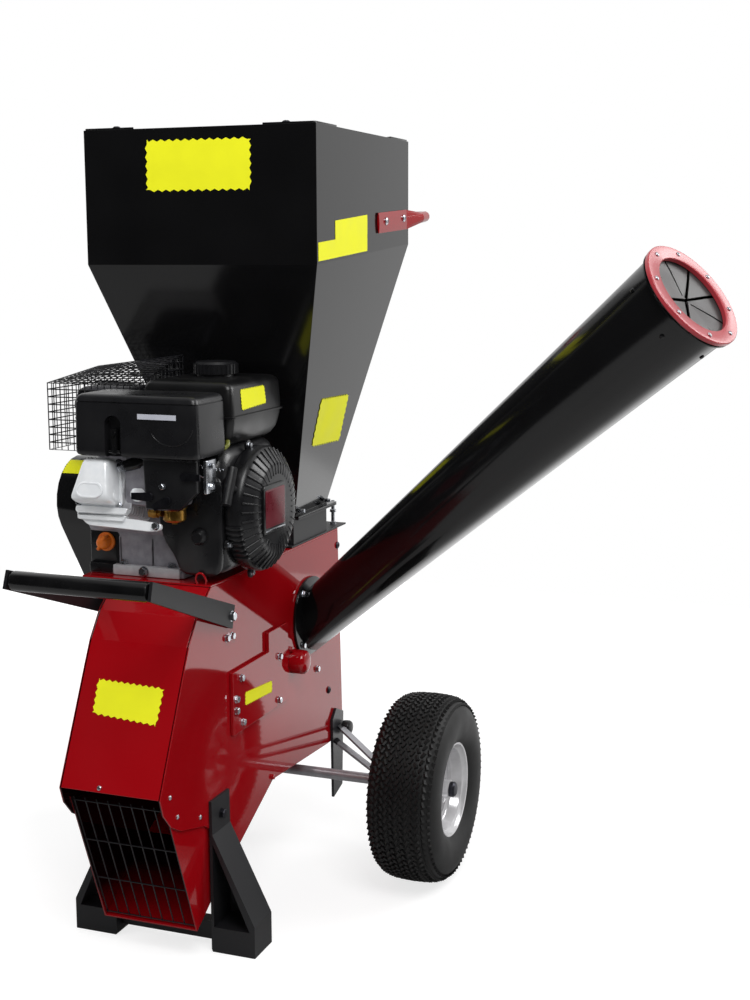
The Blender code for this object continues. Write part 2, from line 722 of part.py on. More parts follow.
def hopper_collar():
    """The bolted collar between the deck and the hopper."""
    foot, wall, flange = (0.318, 0.572), THROAT, (THROAT[0] - 0.012, THROAT[1] + 0.012)
    inside = (THROAT[0] + PLATE, THROAT[1] - PLATE)
    half = BODY_HALF - PLATE
    rings = [
        plain_ring(BODY_HALF, foot, FIT),
        plain_ring(BODY_HALF, foot, PLATE + FIT),
        plain_ring(half, wall, PLATE + FIT),
        plain_ring(half, wall, COLLAR_HEIGHT - PLATE),
        plain_ring(BODY_HALF + 0.012, flange, COLLAR_HEIGHT - PLATE),
        plain_ring(BODY_HALF + 0.012, flange, COLLAR_HEIGHT),
        plain_ring(half - PLATE, inside, COLLAR_HEIGHT),
        plain_ring(half - PLATE, inside, FIT),
    ]
    add_solid("hopper_collar", loft(rings, ring=True), "black_paint")


def rear_foot_half():
    """Half width of the hopper's foot at its rear, which keeps the sloping side panels flat."""
    front_fold = Vector((HOPPER_HALF, HOPPER_Y[0], FOLD_UP[0]))
    rear_fold = Vector((HOPPER_HALF, HOPPER_Y[1], FOLD_UP[1]))
    foot = Vector((BODY_HALF, THROAT[0], COLLAR_HEIGHT + PLATE))
    normal = (rear_fold - front_fold).cross(foot - front_fold)
    return BODY_HALF - normal.y * (THROAT[1] - THROAT[0]) / normal.x


def hopper():
    foot_up = COLLAR_HEIGHT + FIT
    rear = rear_foot_half()
    flange = (THROAT[0] - 0.012, THROAT[1] + 0.012)
    folds = (DECK_Z + FOLD_UP[0], DECK_Z + FOLD_UP[1])

    def inset(depth):
        return (HOPPER_Y[0] + depth, HOPPER_Y[1] - depth)

    wall = SHEET
    foot_in = (THROAT[0] + wall, THROAT[1] - wall)
    foot_z = (DECK_Z + foot_up,) * 2
    half = HOPPER_HALF
    rings = [
        plain_ring(BODY_HALF + 0.012, flange, foot_up),
        plain_ring(BODY_HALF + 0.012, flange, foot_up + PLATE),
        hopper_ring((BODY_HALF, rear), THROAT, (DECK_Z + foot_up + PLATE,) * 2),
        hopper_ring((half, half), HOPPER_Y, folds),
        plain_ring(half, HOPPER_Y, HOPPER_HEIGHT),
        plain_ring(half - 0.014, inset(0.014), HOPPER_HEIGHT),
        plain_ring(half - 0.014, inset(0.014), HOPPER_HEIGHT - wall),
        plain_ring(half - wall, inset(wall), HOPPER_HEIGHT - wall),
        hopper_ring((half - wall, half - wall), inset(wall), folds),
        hopper_ring((BODY_HALF - wall, rear - wall), foot_in, foot_z),
    ]
    add_solid("hopper", loft(rings, ring=True), "black_paint")


def hopper_handle():
    """A tube round the back of the hopper, flattened where it is screwed to the sides."""
    side = HOPPER_HALF + FIT + 0.002
    low, high = DECK_Z + 0.556, DECK_Z + 0.572
    rear = HOPPER_Y[1] + 0.083
    flat, tube = (0.002, 0.018), (0.010, 0.010)
    half_route = [
        ((side, 0.425, low), flat),
        ((side, HOPPER_Y[1] - 0.020, low + 0.009), flat),
        ((side + 0.008, HOPPER_Y[1] + 0.030, low + 0.013), tube),
        ((side + 0.006, rear - 0.018, high), tube),
        ((side - 0.012, rear, high), tube),
        ((side - 0.060, rear, high), tube),
    ]
    mirrored = [((-x, y, z), size) for (x, y, z), size in half_route[::-1]]
    route = half_route + mirrored
    rings = []
    for k, (point, (thick, tall)) in enumerate(route):
        before = Vector(route[max(k - 1, 0)][0])
        after = Vector(route[min(k + 1, len(route) - 1)][0])
        heading = (after - before).normalized()
        out = heading.cross(Vector((0, 0, 1))).normalized()
        up = out.cross(heading)
        angles = [2 * math.pi * (j + 0.5) / 12 for j in range(12)]
        rings.append(
            [Vector(point) + thick * math.cos(a) * out + tall * math.sin(a) * up for a in angles]
        )
    add_solid("hopper_handle", loft(rings), "red_paint", round_piece=True)


# ---------------------------------------------------------------- chipper tube
TUBE_AXIS = Vector(
    (
        math.cos(TUBE_SLOPE) * math.cos(TUBE_AZIMUTH),
        math.cos(TUBE_SLOPE) * math.sin(TUBE_AZIMUTH),
        math.sin(TUBE_SLOPE),
    )
)


def tube_section(reach, radius, power):
    """A cross-section of the tube, square to its axis."""
    side = TUBE_AXIS.cross(Vector((0, 0, 1))).normalized()
    up = side.cross(TUBE_AXIS)
    centre = tube_foot() + TUBE_AXIS * reach
    return [centre + a * side + b * up for a, b in squircle(radius, power)]


def tube_foot():
    return Vector((BODY_HALF + FIT, TUBE_Y, ROTOR_Z + TUBE_UP))


def on_flange(points, x):
    """Slides points along the tube's axis on to an upright plane."""
    return [point + TUBE_AXIS * ((x - point.x) / TUBE_AXIS.x) for point in points]


def tube_radius(share):
    return TUBE_BASE_R + (TUBE_MOUTH_R - TUBE_BASE_R) * share**1.1


def tube_flange(x):
    """The outline of the flange at one plane, set forwards of the tube and over the bearing."""
    centre = Vector((x, TUBE_Y - 0.009, ROTOR_Z + TUBE_UP + 0.015))
    return [centre + Vector((0, -a, b)) for a, b in squircle(TUBE_BASE_R + 0.028, 2.2)]


def chipper_tube():
    """A square-to-round cone with a flange at its foot and a narrow rim at its mouth."""
    x = BODY_HALF + FIT
    shares = (0.12, 0.35, 0.65, 1.0)
    wall = 0.0022

    def powered(share):
        return 2 + 1.5 * (1 - share) ** 2

    outer = [on_flange(tube_section(0, TUBE_BASE_R, powered(0)), x + 0.005)]
    inner = [on_flange(tube_section(0, TUBE_BASE_R - wall, powered(0)), x)]
    for share in shares:
        radius = tube_radius(share)
        outer.append(tube_section(TUBE_LENGTH * share, radius, powered(share)))
        inner.append(tube_section(TUBE_LENGTH * share, radius - wall, powered(share)))
    rim_r = MOUTH_RING_R - 0.001
    rim = [tube_section(TUBE_LENGTH + reach, rim_r, 2) for reach in (0, 0.002)]
    inner[-1] = tube_section(TUBE_LENGTH + 0.002, TUBE_MOUTH_R - wall, 2)
    rings = [tube_flange(x), tube_flange(x + 0.005)] + outer + rim + inner[::-1]
    add_solid("chipper_tube", loft(rings, ring=True), "black_paint", round_piece=True)


def mouth_disc(name, reach, thick, hole, finish):
    """A flat round piece across the tube's mouth."""
    bm = prism("z", squircle(MOUTH_RING_R, 2), 0, thick, [hole])
    side = TUBE_AXIS.cross(Vector((0, 0, 1))).normalized()
    up = side.cross(TUBE_AXIS)
    turn = Matrix((up, side, TUBE_AXIS)).transposed().to_4x4()
    start = tube_foot() + TUBE_AXIS * reach
    bm.transform(Matrix.Translation(start) @ turn)
    add_solid(name, bm, finish)


def slit_star(count=8, reach=0.052, half_slit=0.0008, middle=0.004):
    """The outline of radial slits that meet at the centre."""
    points = []
    for k in range(count):
        a = 2 * math.pi * k / count
        out = Vector((math.cos(a), math.sin(a)))
        side = Vector((-out.y, out.x)) * half_slit
        points.append(tuple(out * reach - side))
        points.append(tuple(out * reach + side))
        b = a + math.pi / count
        points.append((middle * math.cos(b), middle * math.sin(b)))
    return points


def tube_mouth():
    flap_reach = TUBE_LENGTH + 0.002 + FIT
    mouth_disc("mouth_flap", flap_reach, 0.002, slit_star(), "rubber")
    opening = squircle(TUBE_MOUTH_R - 0.016, 2)
    mouth_disc("mouth_ring", flap_reach + 0.002 + FIT, 0.007, opening, "red_paint")


# ---------------------------------------------------------------- legs, axle and wheels
def leg(side, sign):
    """An upright strap, a brace that splays outwards and a foot, welded together."""
    x = BODY_HALF
    top = ROTOR_Z - 0.140
    outline = [(x + FIT, top), (x + 0.005, top), (x + 0.0055, 0.195), (x + 0.076, 0.052)]
    outline += [(x + 0.076, 0), (x + 0.002, 0), (x + FIT, 0.005)]
    window = [(x + 0.0053, 0.180), (x + 0.0053, 0.042), (x + 0.067, 0.042)]
    outline = [(sign * a, b) for a, b in outline]
    window = [(sign * a, b) for a, b in window]
    web = 0.045
    rear = web + PLATE
    made = add_solid(f"leg_{side}", prism("y", outline, -0.016, rear, [window]), "black_paint")
    inset = 0.0002
    middle = [(sign * (BODY_HALF + a), b) for a, b in LEG_WEB]
    combine(made, prism("y", middle, web, rear - inset), "UNION")


LEG_WEB = [(0.003, 0.186), (0.003, 0.040), (0.050, 0.040), (0.052, 0.082), (0.010, 0.183)]


def cross_bar():
    bm = box((-BODY_HALF, 0.002, 0.012), (BODY_HALF, 0.026, 0.042))
    add_solid("cross_bar", bm, "black_paint")


def wheel_inner_face(side):
    sign = 1 if side == "right" else -1
    return WHEEL_X[side] - sign * TYRE_HALF


def rear_bracket(side, sign):
    """A strap at the rear corner, two braces and the clamp that holds the axle."""
    x = BODY_HALF + FIT
    corners = [(0.490, 0.080), (0.533, 0.092), (0.540, 0.235), (0.505, 0.250), (0.486, 0.232)]
    strap = [(y, z - 0.390 + ROTOR_Z) for y, z in corners]
    faces = sorted((sign * x, sign * (x + 0.005)))
    bracket = add_solid(f"rear_bracket_{side}", prism("x", strap, *faces), "black_paint")
    clamp_x = wheel_inner_face(side) - sign * 0.014
    ends = [
        ((0.523, ROTOR_Z - 0.178), (AXLE_Y + 0.012, AXLE_Z + 0.012)),
        ((0.502, ROTOR_Z - 0.200), (AXLE_Y + 0.012, AXLE_Z - 0.004)),
    ]
    for near, far in ends:
        start = Vector((sign * (x + 0.001), *near))
        end = Vector((clamp_x, *far))
        wide = 0.007 * (end - start).length / abs(end.x - start.x)
        rings = [[point + Vector((0, a, b)) for a, b in rectangle((-wide, -0.0025), (wide, 0.0025))] for point in (start, end)]
        combine(bracket, loft(rings), "UNION")
    clamp = [(0, AXLE_R + FIT), (0, 0.019), (0.020, 0.019), (0.020, AXLE_R + FIT)]
    start = (clamp_x - sign * 0.010, AXLE_Y, AXLE_Z)
    combine(bracket, turned(clamp, start, (sign, 0, 0), ring=True), "UNION")
    bore = rod((clamp_x - 0.03, AXLE_Y, AXLE_Z), (clamp_x + 0.03, AXLE_Y, AXLE_Z), AXLE_R + FIT)
    combine(bracket, bore, "DIFFERENCE")


def axle():
    ends = (WHEEL_X["left"] - 0.054, AXLE_Y, AXLE_Z), (WHEEL_X["right"] + 0.054, AXLE_Y, AXLE_Z)
    add_solid("axle", rod(*ends, AXLE_R), "bright_steel", round_piece=True)


RIM_SEAT = 0.074
RIM_LIP = 0.086


def wheel(side, sign):
    centre = (WHEEL_X[side], AXLE_Y, AXLE_Z)
    bore = AXLE_R + FIT
    hub = AXLE_R + 0.008
    seat, lip, inside = RIM_SEAT, RIM_LIP, RIM_SEAT - 0.003
    rim = [(-0.045, bore), (0.045, bore), (0.045, hub), (-0.008, hub), (-0.008, inside)]
    rim += [(0.052, inside), (0.052, lip), (0.049, lip), (0.049, seat), (-0.049, seat)]
    rim += [(-0.049, lip), (-0.052, lip), (-0.052, inside), (-0.012, inside)]
    rim += [(-0.012, hub), (-0.045, hub)]
    body = f"wheel_{side}"
    bm = turned(rim, centre, (sign, 0, 0), ring=True)
    add_solid(f"rim_{side}", bm, "bright_steel", body, True)
    crown = WHEEL_R - RIM_SEAT  # height of the tyre's section
    shape = [(0.0485, 0.0005), (0.0485, 0.135 * crown), (TYRE_HALF, 0.50 * crown), (TYRE_HALF - 0.002, 0.78 * crown)]
    shape += [(TYRE_HALF - 0.014, 0.95 * crown), (0.024, 0.995 * crown)]
    outer = shape + [(0, crown)] + [(-x, up) for x, up in shape[::-1]]
    core = [(0.0440, 0.0005), (0.0440, 0.16 * crown), (TYRE_HALF - 0.007, 0.50 * crown), (0.044, 0.86 * crown)]
    inner = [(-x, up) for x, up in core] + core[::-1]
    profile = [(x, seat + up) for x, up in outer + inner]
    bm = turned(profile, centre, (sign, 0, 0), 28, ring=True)
    add_solid(f"tyre_{side}", bm, "rubber", body, True)


# ---------------------------------------------------------------- tow bar
def tow_lean():
    """How far an arm leans outwards for each metre towards the grip."""
    return (GRIP_HALF - BODY_HALF) / (TOW_REACH + 0.020)


def tow_arm(side, sign):
    """A flat arm from its pivot on the side plate, set outwards to the end of the grip."""
    heading = Vector((-TOW_REACH, TOW_RISE)).normalized()
    across = Vector((-heading.y, heading.x))
    pivot = Vector(TOW_PIVOT.yz)
    near = pivot - heading * 0.010
    far = pivot + Vector((-TOW_REACH, TOW_RISE)) + heading * 0.010
    corners = [near + across * 0.019, far + across * 0.014, far - across * 0.014, near - across * 0.019]
    outline = [tuple(corner) for corner in corners]
    x = BODY_HALF + FIT
    bm = prism("x", outline, x, x + 0.005)
    rear = max(y for y, z in outline)
    for vertex in bm.verts:
        vertex.co.x = sign * (vertex.co.x + tow_lean() * (rear - vertex.co.y))
    add_solid(f"tow_arm_{side}", closed(bm), "black_paint", "tow_bar")


def tow_grip():
    y, z = TOW_PIVOT.y - TOW_REACH, TOW_PIVOT.z + TOW_RISE
    half = GRIP_HALF - tow_lean() * GRIP_R - 2 * FIT
    bm = rod((-half, y, z), (half, y, z), GRIP_R)
    add_solid("tow_grip", bm, "black_plastic", "tow_bar", True)


# ---------------------------------------------------------------- assembly
def clear_scene():
    for leftover in list(bpy.data.objects):
        bpy.data.objects.remove(leftover, do_unlink=True)


def add_bodies():
    add_body("machine", (0, 0, 0))
    add_body("rotor", ROTOR_CENTRE, "machine")
    for number in range(3):
        add_body(f"hammer_{number + 1}", pin_centre(number), "rotor")
    add_body("crank", CRANK_CENTRE, "machine")
    for side in ("right", "left"):
        add_body(f"wheel_{side}", (WHEEL_X[side], AXLE_Y, AXLE_Z), "machine")
    add_body("tow_bar", TOW_PIVOT, "machine")
    add_body("recoil_pull", (0.119, CRANK_Y, CRANK_Z), "machine")
    add_body("fuel_cap", (*FUEL_CAP, DECK_Z + TANK_UP + 0.100), "machine")
    for name, ((x, up), _, _) in LEVERS.items():
        add_body(name, (x, PANEL_Y[0], DECK_Z + up), "machine")
    add_body("engine_switch", switch_centre(), "machine")
    add_body("oil_plug", oil_plug_centre(), "machine")


def build_housing():
    side_plate("side_plate_right", 1)
    side_plate("side_plate_left", -1)
    front_hood()
    rear_sheet()
    deck_plate()
    discharge_chute()
    discharge_grille()
    access_cover()
    bearings()


def build_rotor():
    rotor_shaft()
    knife_disc()
    chipper_knife(1)
    chipper_knife(2)
    hammer_carrier()
    for number in range(3):
        hammer(number)
    pulley("rotor_pulley", ROTOR_CENTRE, DRIVEN_R, SHAFT_R + FIT, "rotor")
    pulley("engine_pulley", CRANK_CENTRE, DRIVE_R, CRANK_R + FIT, "crank")
    drive_belt()
    belt_guard()


def build_engine():
    crankcase()
    cylinder_head()
    rocker_cover()
    crankshaft()
    fan_shroud()
    recoil_housing()
    recoil_grip()
    air_cleaner()
    carburettor()
    fuel_tank()
    fuel_cap()
    muffler()
    muffler_guard()
    control_panel()
    for name in LEVERS:
        lever(name)
    engine_switch()
    oil_plug()


def build_feeds():
    hopper_collar()
    hopper()
    hopper_handle()
    chipper_tube()
    tube_mouth()


def build_running_gear():
    cross_bar()
    axle()
    tow_grip()
    for side, sign in (("right", 1), ("left", -1)):
        leg(side, sign)
        rear_bracket(side, sign)
        wheel(side, sign)
        tow_arm(side, sign)


def stand_on_origin():
    """Moves the whole machine so that the origin is the centre of its footprint."""
    bpy.context.view_layer.update()
    corners = []
    for solid in bpy.context.scene.objects:
        if solid.type == "MESH" and not solid.hide_render:
            corners += [solid.matrix_world @ vertex.co for vertex in solid.data.vertices]
    low = [min(corner[axis] for corner in corners) for axis in range(3)]
    high = [max(corner[axis] for corner in corners) for axis in range(3)]
    empty = BODIES["machine"][0]
    empty.location = (-(low[0] + high[0]) / 2, -(low[1] + high[1]) / 2, -low[2])


def main():
    clear_scene()
    add_bodies()
    build_housing()
    build_rotor()
    build_engine()
    build_feeds()
    build_running_gear()
    stand_on_origin()


main()
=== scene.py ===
# %% [markdown]
# # A petrol wood chipper, dressed over its CAD frame
#
# The CAD model says where everything is. This notebook gives it its looks: it keeps the flat
# welded sheets as they are and paints them, and it models again whatever a plain solid can't
# show, such as the tyres, the engine and the wire guards. Every length is in metres.

# %% Load the frame
import math

import bmesh
import bpy
from mathutils import Matrix, Vector


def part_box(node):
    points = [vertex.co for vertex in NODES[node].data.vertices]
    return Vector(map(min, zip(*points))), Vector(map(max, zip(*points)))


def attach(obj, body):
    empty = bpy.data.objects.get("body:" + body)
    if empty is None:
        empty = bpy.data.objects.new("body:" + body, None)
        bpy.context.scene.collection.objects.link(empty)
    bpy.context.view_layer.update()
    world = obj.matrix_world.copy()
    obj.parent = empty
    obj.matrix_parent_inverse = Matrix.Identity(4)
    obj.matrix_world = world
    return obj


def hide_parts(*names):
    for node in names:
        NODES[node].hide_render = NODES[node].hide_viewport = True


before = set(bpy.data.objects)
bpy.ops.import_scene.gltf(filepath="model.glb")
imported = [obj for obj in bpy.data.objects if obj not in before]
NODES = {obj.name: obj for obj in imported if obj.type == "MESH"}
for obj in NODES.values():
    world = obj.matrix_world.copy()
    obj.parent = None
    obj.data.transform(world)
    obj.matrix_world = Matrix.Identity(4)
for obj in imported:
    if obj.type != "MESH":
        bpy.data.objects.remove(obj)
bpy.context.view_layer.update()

# %% [markdown]
# ## Where things are
#
# The chipper was designed with x = 0 in the middle of its body and the ground at z = 0. Three
# CAD pieces are enough to find that origin again: the two side plates give the middle, and the
# axle gives the distance from front to rear. X points to the machine's right, Y to its rear.

# %% The datum
AXLE_Y = 0.387  # the axle behind the design's origin
X, Y, Z = Vector((1, 0, 0)), Vector((0, 1, 0)), Vector((0, 0, 1))


def middle(node):
    """The middle of a CAD node's box."""
    low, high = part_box(node)
    return (low + high) / 2


DATUM = Vector(
    (
        (middle("side_plate_right").x + middle("side_plate_left").x) / 2,
        middle("axle").y - AXLE_Y,
        0,
    )
)


def at(x, y, z):
    """A design point in the frame."""
    return DATUM + Vector((x, y, z))


ORIGIN = at(0, 0, 0)
print("datum", [round(value, 4) for value in DATUM])

# %% [markdown]
# ## The camera
#
# A camera looks along its own -Z, with X to its right. Three angles say how it stands: where
# it faces, how far it looks down, and how it leans. The lens is a little longer than normal,
# so the machine keeps its proportions.

# %% Camera
TRIPOD_HEAD = at(1.112, -2.005, 1.094)
LENS_MM, FILM_MM = 53.63, 36
FACING, DOWN, LEAN = (math.radians(angle) for angle in (20.576, 9.358, -0.145))
forward = Vector(
    (-math.sin(FACING) * math.cos(DOWN), math.cos(FACING) * math.cos(DOWN), -math.sin(DOWN))
)
level = Vector((math.cos(FACING), math.sin(FACING), 0))
upright = level.cross(forward)
right = level * math.cos(LEAN) + upright * math.sin(LEAN)
above = upright * math.cos(LEAN) - level * math.sin(LEAN)
camera = bpy.data.objects.new("camera", bpy.data.cameras.new("camera"))
turn = Matrix((right, above, -forward)).transposed()
camera.matrix_world = Matrix.Translation(TRIPOD_HEAD) @ turn.to_4x4()
camera.data.lens = LENS_MM
camera.data.sensor_width = FILM_MM
bpy.context.scene.collection.objects.link(camera)
bpy.context.scene.camera = camera
bpy.context.scene.view_settings.view_transform = "Standard"
print("lens", camera.data.lens, "mm")

# %% [markdown]
# ## Colours and nodes
#
# Paint makers give colours as hex codes, which are sRGB. Shaders work in linear light, so one
# function turns one into the other.

# %% Colours
MM = 0.001


def srgb(code):
    """#rrggbb as a linear colour."""
    parts = [int(code[i : i + 2], 16) / 255 for i in (1, 3, 5)]
    linear = [c / 12.92 if c <= 0.04045 else ((c + 0.055) / 1.055) ** 2.4 for c in parts]
    return (*linear, 1.0)


print("mid grey, #808080, is", round(srgb("#808080")[0], 3), "in linear light")

# %% [markdown]
# One function adds a node, sets it and links it, and every material below is made of calls to
# it. The others are short names for what nearly every material needs: noise of a real size, a
# range stretched to another, a mix, a step of arithmetic and a bump.

# %% Nodes


def add_node(tree, kind, inputs=None, **settings):
    """A node with its settings, and its inputs set to values or linked to sockets."""
    made = tree.nodes.new(kind)
    for key, value in settings.items():
        setattr(made, key, value)
    for key, value in (inputs or {}).items():
        if isinstance(value, bpy.types.NodeSocket):
            tree.links.new(value, made.inputs[key])
        else:
            made.inputs[key].default_value = value
    return made


def noise(tree, place, size, detail=3.0):
    """Cloudy noise whose lumps are about this size."""
    inputs = {"Vector": place, "Scale": 1 / size, "Detail": detail}
    return add_node(tree, "ShaderNodeTexNoise", inputs).outputs["Fac"]


def spread(tree, value, low, high, start=0.35, end=0.65):
    """Stretches a value from start...end to low...high."""
    inputs = {"Value": value, "From Min": start, "From Max": end, "To Min": low, "To Max": high}
    return add_node(tree, "ShaderNodeMapRange", inputs).outputs["Result"]


def mixed(tree, share, a, b):
    """Colour a where the share is 0, colour b where it is 1."""
    inputs = {0: share, 6: a, 7: b}
    return add_node(tree, "ShaderNodeMix", inputs, data_type="RGBA").outputs[2]


def worked_out(tree, operation, a, b=0.0):
    """One step of arithmetic."""
    return add_node(tree, "ShaderNodeMath", {0: a, 1: b}, operation=operation).outputs[0]


def either(tree, share, a, b):
    """Value a where the share is 0, value b where it is 1."""
    return add_node(tree, "ShaderNodeMix", {0: share, 2: a, 3: b}).outputs[0]


def new_material(name):
    """An empty material, its tree and the place of each point on the object."""
    material = bpy.data.materials.new(name)
    material.use_nodes = True
    tree = material.node_tree
    tree.nodes.clear()
    return material, tree, add_node(tree, "ShaderNodeTexCoord").outputs["Object"]


def surface(tree, inputs):
    """The shader and the output of a material."""
    shader = add_node(tree, "ShaderNodeBsdfPrincipled", inputs)
    add_node(tree, "ShaderNodeOutputMaterial", {"Surface": shader.outputs["BSDF"]})
    return shader


def bumped(tree, height, depth):
    """A normal that rises and falls by this depth."""
    inputs = {"Height": height, "Distance": depth, "Strength": 1.0}
    return add_node(tree, "ShaderNodeBump", inputs).outputs["Normal"]


print("every material is made by", add_node.__name__)

# %% [markdown]
# ## Paint
#
# The red body and the black hopper are stove-enamelled sheet: sprayed on, then baked. Enamel
# pulls itself almost flat, and what is left is orange peel, waves a few millimetres across
# that make a reflection swim. A low roughness gives the hard gloss. A breath of dust dulls it
# in wide clouds, which is what keeps a big flat panel from looking like plastic. Inside the
# chute and the side plates, above the foot, a painted shade darkens the enamel nearly to black,
# in place of the shadow deep inside them.

# %% Enamels
# Where the painted shade inside the chute and the side plates begins, and where it is full.
SHADE_STARTS, SHADE_IS_FULL = 0.045, 0.110  # heights over the ground


def from_middle(tree, place):
    """How far a point of a CAD sheet is from the machine's middle plane, and how high."""
    split = add_node(tree, "ShaderNodeSeparateXYZ", {"Vector": place}).outputs
    shifted = worked_out(tree, "SUBTRACT", split["X"], DATUM.x)
    return worked_out(tree, "ABSOLUTE", shifted), split["Z"]


def enamel(name, deep, dusty, roughness, peel_mm=9.0, peel_depth=0.012, hollow=0.0):
    """Stove enamel with orange peel and dust, and painted shade nearer to the middle than the hollow."""
    material, tree, place = new_material(name)
    dust = spread(tree, noise(tree, place, 120 * MM, 1.0), 0.0, 1.0, 0.25, 0.75)
    peel = noise(tree, place, peel_mm * MM, 1.0)
    colour = mixed(tree, dust, srgb(deep), srgb(dusty))
    # Painted shade: nearer the middle than the hollow and above the foot, the colour goes to near black,
    # standing in for the shadow inside.
    if hollow:
        side, height = from_middle(tree, place)
        inside = spread(tree, side, 1.0, 0.0, hollow - 0.4 * MM, hollow)
        above = spread(tree, height, 0.0, 1.0, SHADE_STARTS, SHADE_IS_FULL)
        painted_shade = worked_out(tree, "MULTIPLY", inside, above)
        colour = mixed(tree, painted_shade, colour, srgb("#150406"))
    surface(
        tree,
        {
            "Base Color": colour,
            "Roughness": spread(tree, dust, roughness, roughness + 0.02, 0.0, 1.0),
            "IOR": 1.5,
            "Normal": bumped(tree, peel, peel_depth * MM),
        },
    )
    return material


RED_ENAMEL = enamel("stove_enamel_red", "#97060f", "#9b0c14", 0.04)
BLACK_ENAMEL = enamel("stove_enamel_black", "#0b0b0c", "#101011", 0.13)
# The chute and the side plates carry painted shade on their insides.
CHUTE_RED = enamel("stove_enamel_red_chute_painted_shade", "#97060f", "#9b0c14", 0.04, hollow=0.0820)
PLATE_RED = enamel("stove_enamel_red_plates_painted_shade", "#97060f", "#9b0c14", 0.04, hollow=0.0846)
RING_RED = enamel("stove_enamel_ring_red", "#a8323a", "#ad3c44", 0.22, 5.0)
LEG_PAINT = enamel("matt_enamel_charcoal", "#111114", "#18181b", 0.50, 3.0, 0.04)
print("paints:", RED_ENAMEL.name, BLACK_ENAMEL.name, RING_RED.name, LEG_PAINT.name)

# %% [markdown]
# A rear bracket is one CAD solid with two finishes: its strap by the body is painted charcoal,
# and the braces that reach out to the wheel are zinc-plated. The distance from the middle says
# where one ends and the other begins.

# %% Bracket paint
STRAP_ENDS = 0.100  # from the middle plane
BRACKET_PAINT, tree, place = new_material("bracket_charcoal_and_zinc_struts")
strut = spread(tree, from_middle(tree, place)[0], 0.0, 1.0, STRAP_ENDS, STRAP_ENDS + 2 * MM)
grain = spread(tree, noise(tree, place, 3 * MM), 0.30, 0.40)
surface(tree, {
    "Base Color": mixed(tree, strut, srgb("#242428"), srgb("#b4b5ba")),
    "Metallic": spread(tree, strut, 0.0, 0.5, 0.0, 1.0),
    "Roughness": grain,
})
print("paint:", BRACKET_PAINT.name)

# %% [markdown]
# ## Plastic and rubber
#
# The engine's covers are injection-moulded ABS. Its mould is spark-eroded, which leaves a fine
# even grain and a satin look. Rubber is duller still: carbon black soaks up the light, and the
# tyre's skin has mould dust in it.

# %% Plastics and rubbers


def moulded(name, dark, light, roughness, grain_mm, depth_mm):
    """Moulded plastic or rubber: an even grain under a slow change of shade."""
    material, tree, place = new_material(name)
    cloud = spread(tree, noise(tree, place, 45 * MM, 4.0), 0.0, 1.0)
    # The real grain is a quarter of a millimetre; it is drawn coarser, so that it shows.
    grain = noise(tree, place, grain_mm * MM, 2.0)
    surface(
        tree,
        {
            "Base Color": mixed(tree, cloud, srgb(dark), srgb(light)),
            "Roughness": spread(tree, cloud, roughness - 0.05, roughness + 0.06, 0.0, 1.0),
            "IOR": 1.5,
            "Normal": bumped(tree, grain, depth_mm * MM),
        },
    )
    return material


SATIN_ABS = moulded("moulded_abs_satin", "#151517", "#1b1b1d", 0.30, 1.4, 0.015)
TANK_PLASTIC = moulded("moulded_polyethylene_tank", "#0d0d0e", "#131314", 0.34, 2.5, 0.015)
TYRE_RUBBER = moulded("tyre_rubber", "#0a0a0b", "#111010", 0.60, 1.6, 0.12)
FLAP_RUBBER = moulded("flap_rubber_grey", "#343233", "#454242", 0.50, 2.0, 0.10)
GRIP_RUBBER = moulded("grip_foam_black", "#0b0b0c", "#101011", 0.20, 2.0, 0.02)
ORANGE_PLASTIC = moulded("moulded_nylon_orange", "#c9560b", "#dd7414", 0.35, 2.0, 0.05)
PANEL_RED = moulded("printed_panel_dark_red", "#5c1420", "#6c1c28", 0.30, 2.0, 0.02)
print("plastics:", SATIN_ABS.name, TANK_PLASTIC.name, ORANGE_PLASTIC.name)

# %% [markdown]
# ## Metals
#
# A metal has no colour of its own under the shine: its base colour is the colour of what it
# mirrors. What tells die-cast aluminium from zinc-plated steel is the surface. Sand or die
# casting is rough and slightly mottled, and plated steel has a cool patchy tint. The rocker
# cover and the wheels are lacquered silver: flakes of metal in a clear binder, so part of their
# brightness doesn't depend on what they mirror.

# %% Metals


def metal(name, dark, light, roughness, grain_mm, depth_mm, stretch=(1, 1, 1), bare=1.0,
          mottle=0.08):
    """A metal with patches of tint and a grain. Under lacquer less of it is bare."""
    material, tree, place = new_material(name)
    patch = spread(tree, noise(tree, place, 14 * MM, 4.0), 0.0, 1.0)
    drawn = add_node(tree, "ShaderNodeMapping", {"Vector": place, "Scale": stretch})
    grain = noise(tree, drawn.outputs["Vector"], grain_mm * MM, 2.0)
    surface(
        tree,
        {
            "Base Color": mixed(tree, patch, srgb(dark), srgb(light)),
            "Metallic": bare,
            "Roughness": spread(tree, patch, roughness, roughness + mottle, 0.0, 1.0),
            "Normal": bumped(tree, grain, depth_mm * MM),
        },
    )
    return material


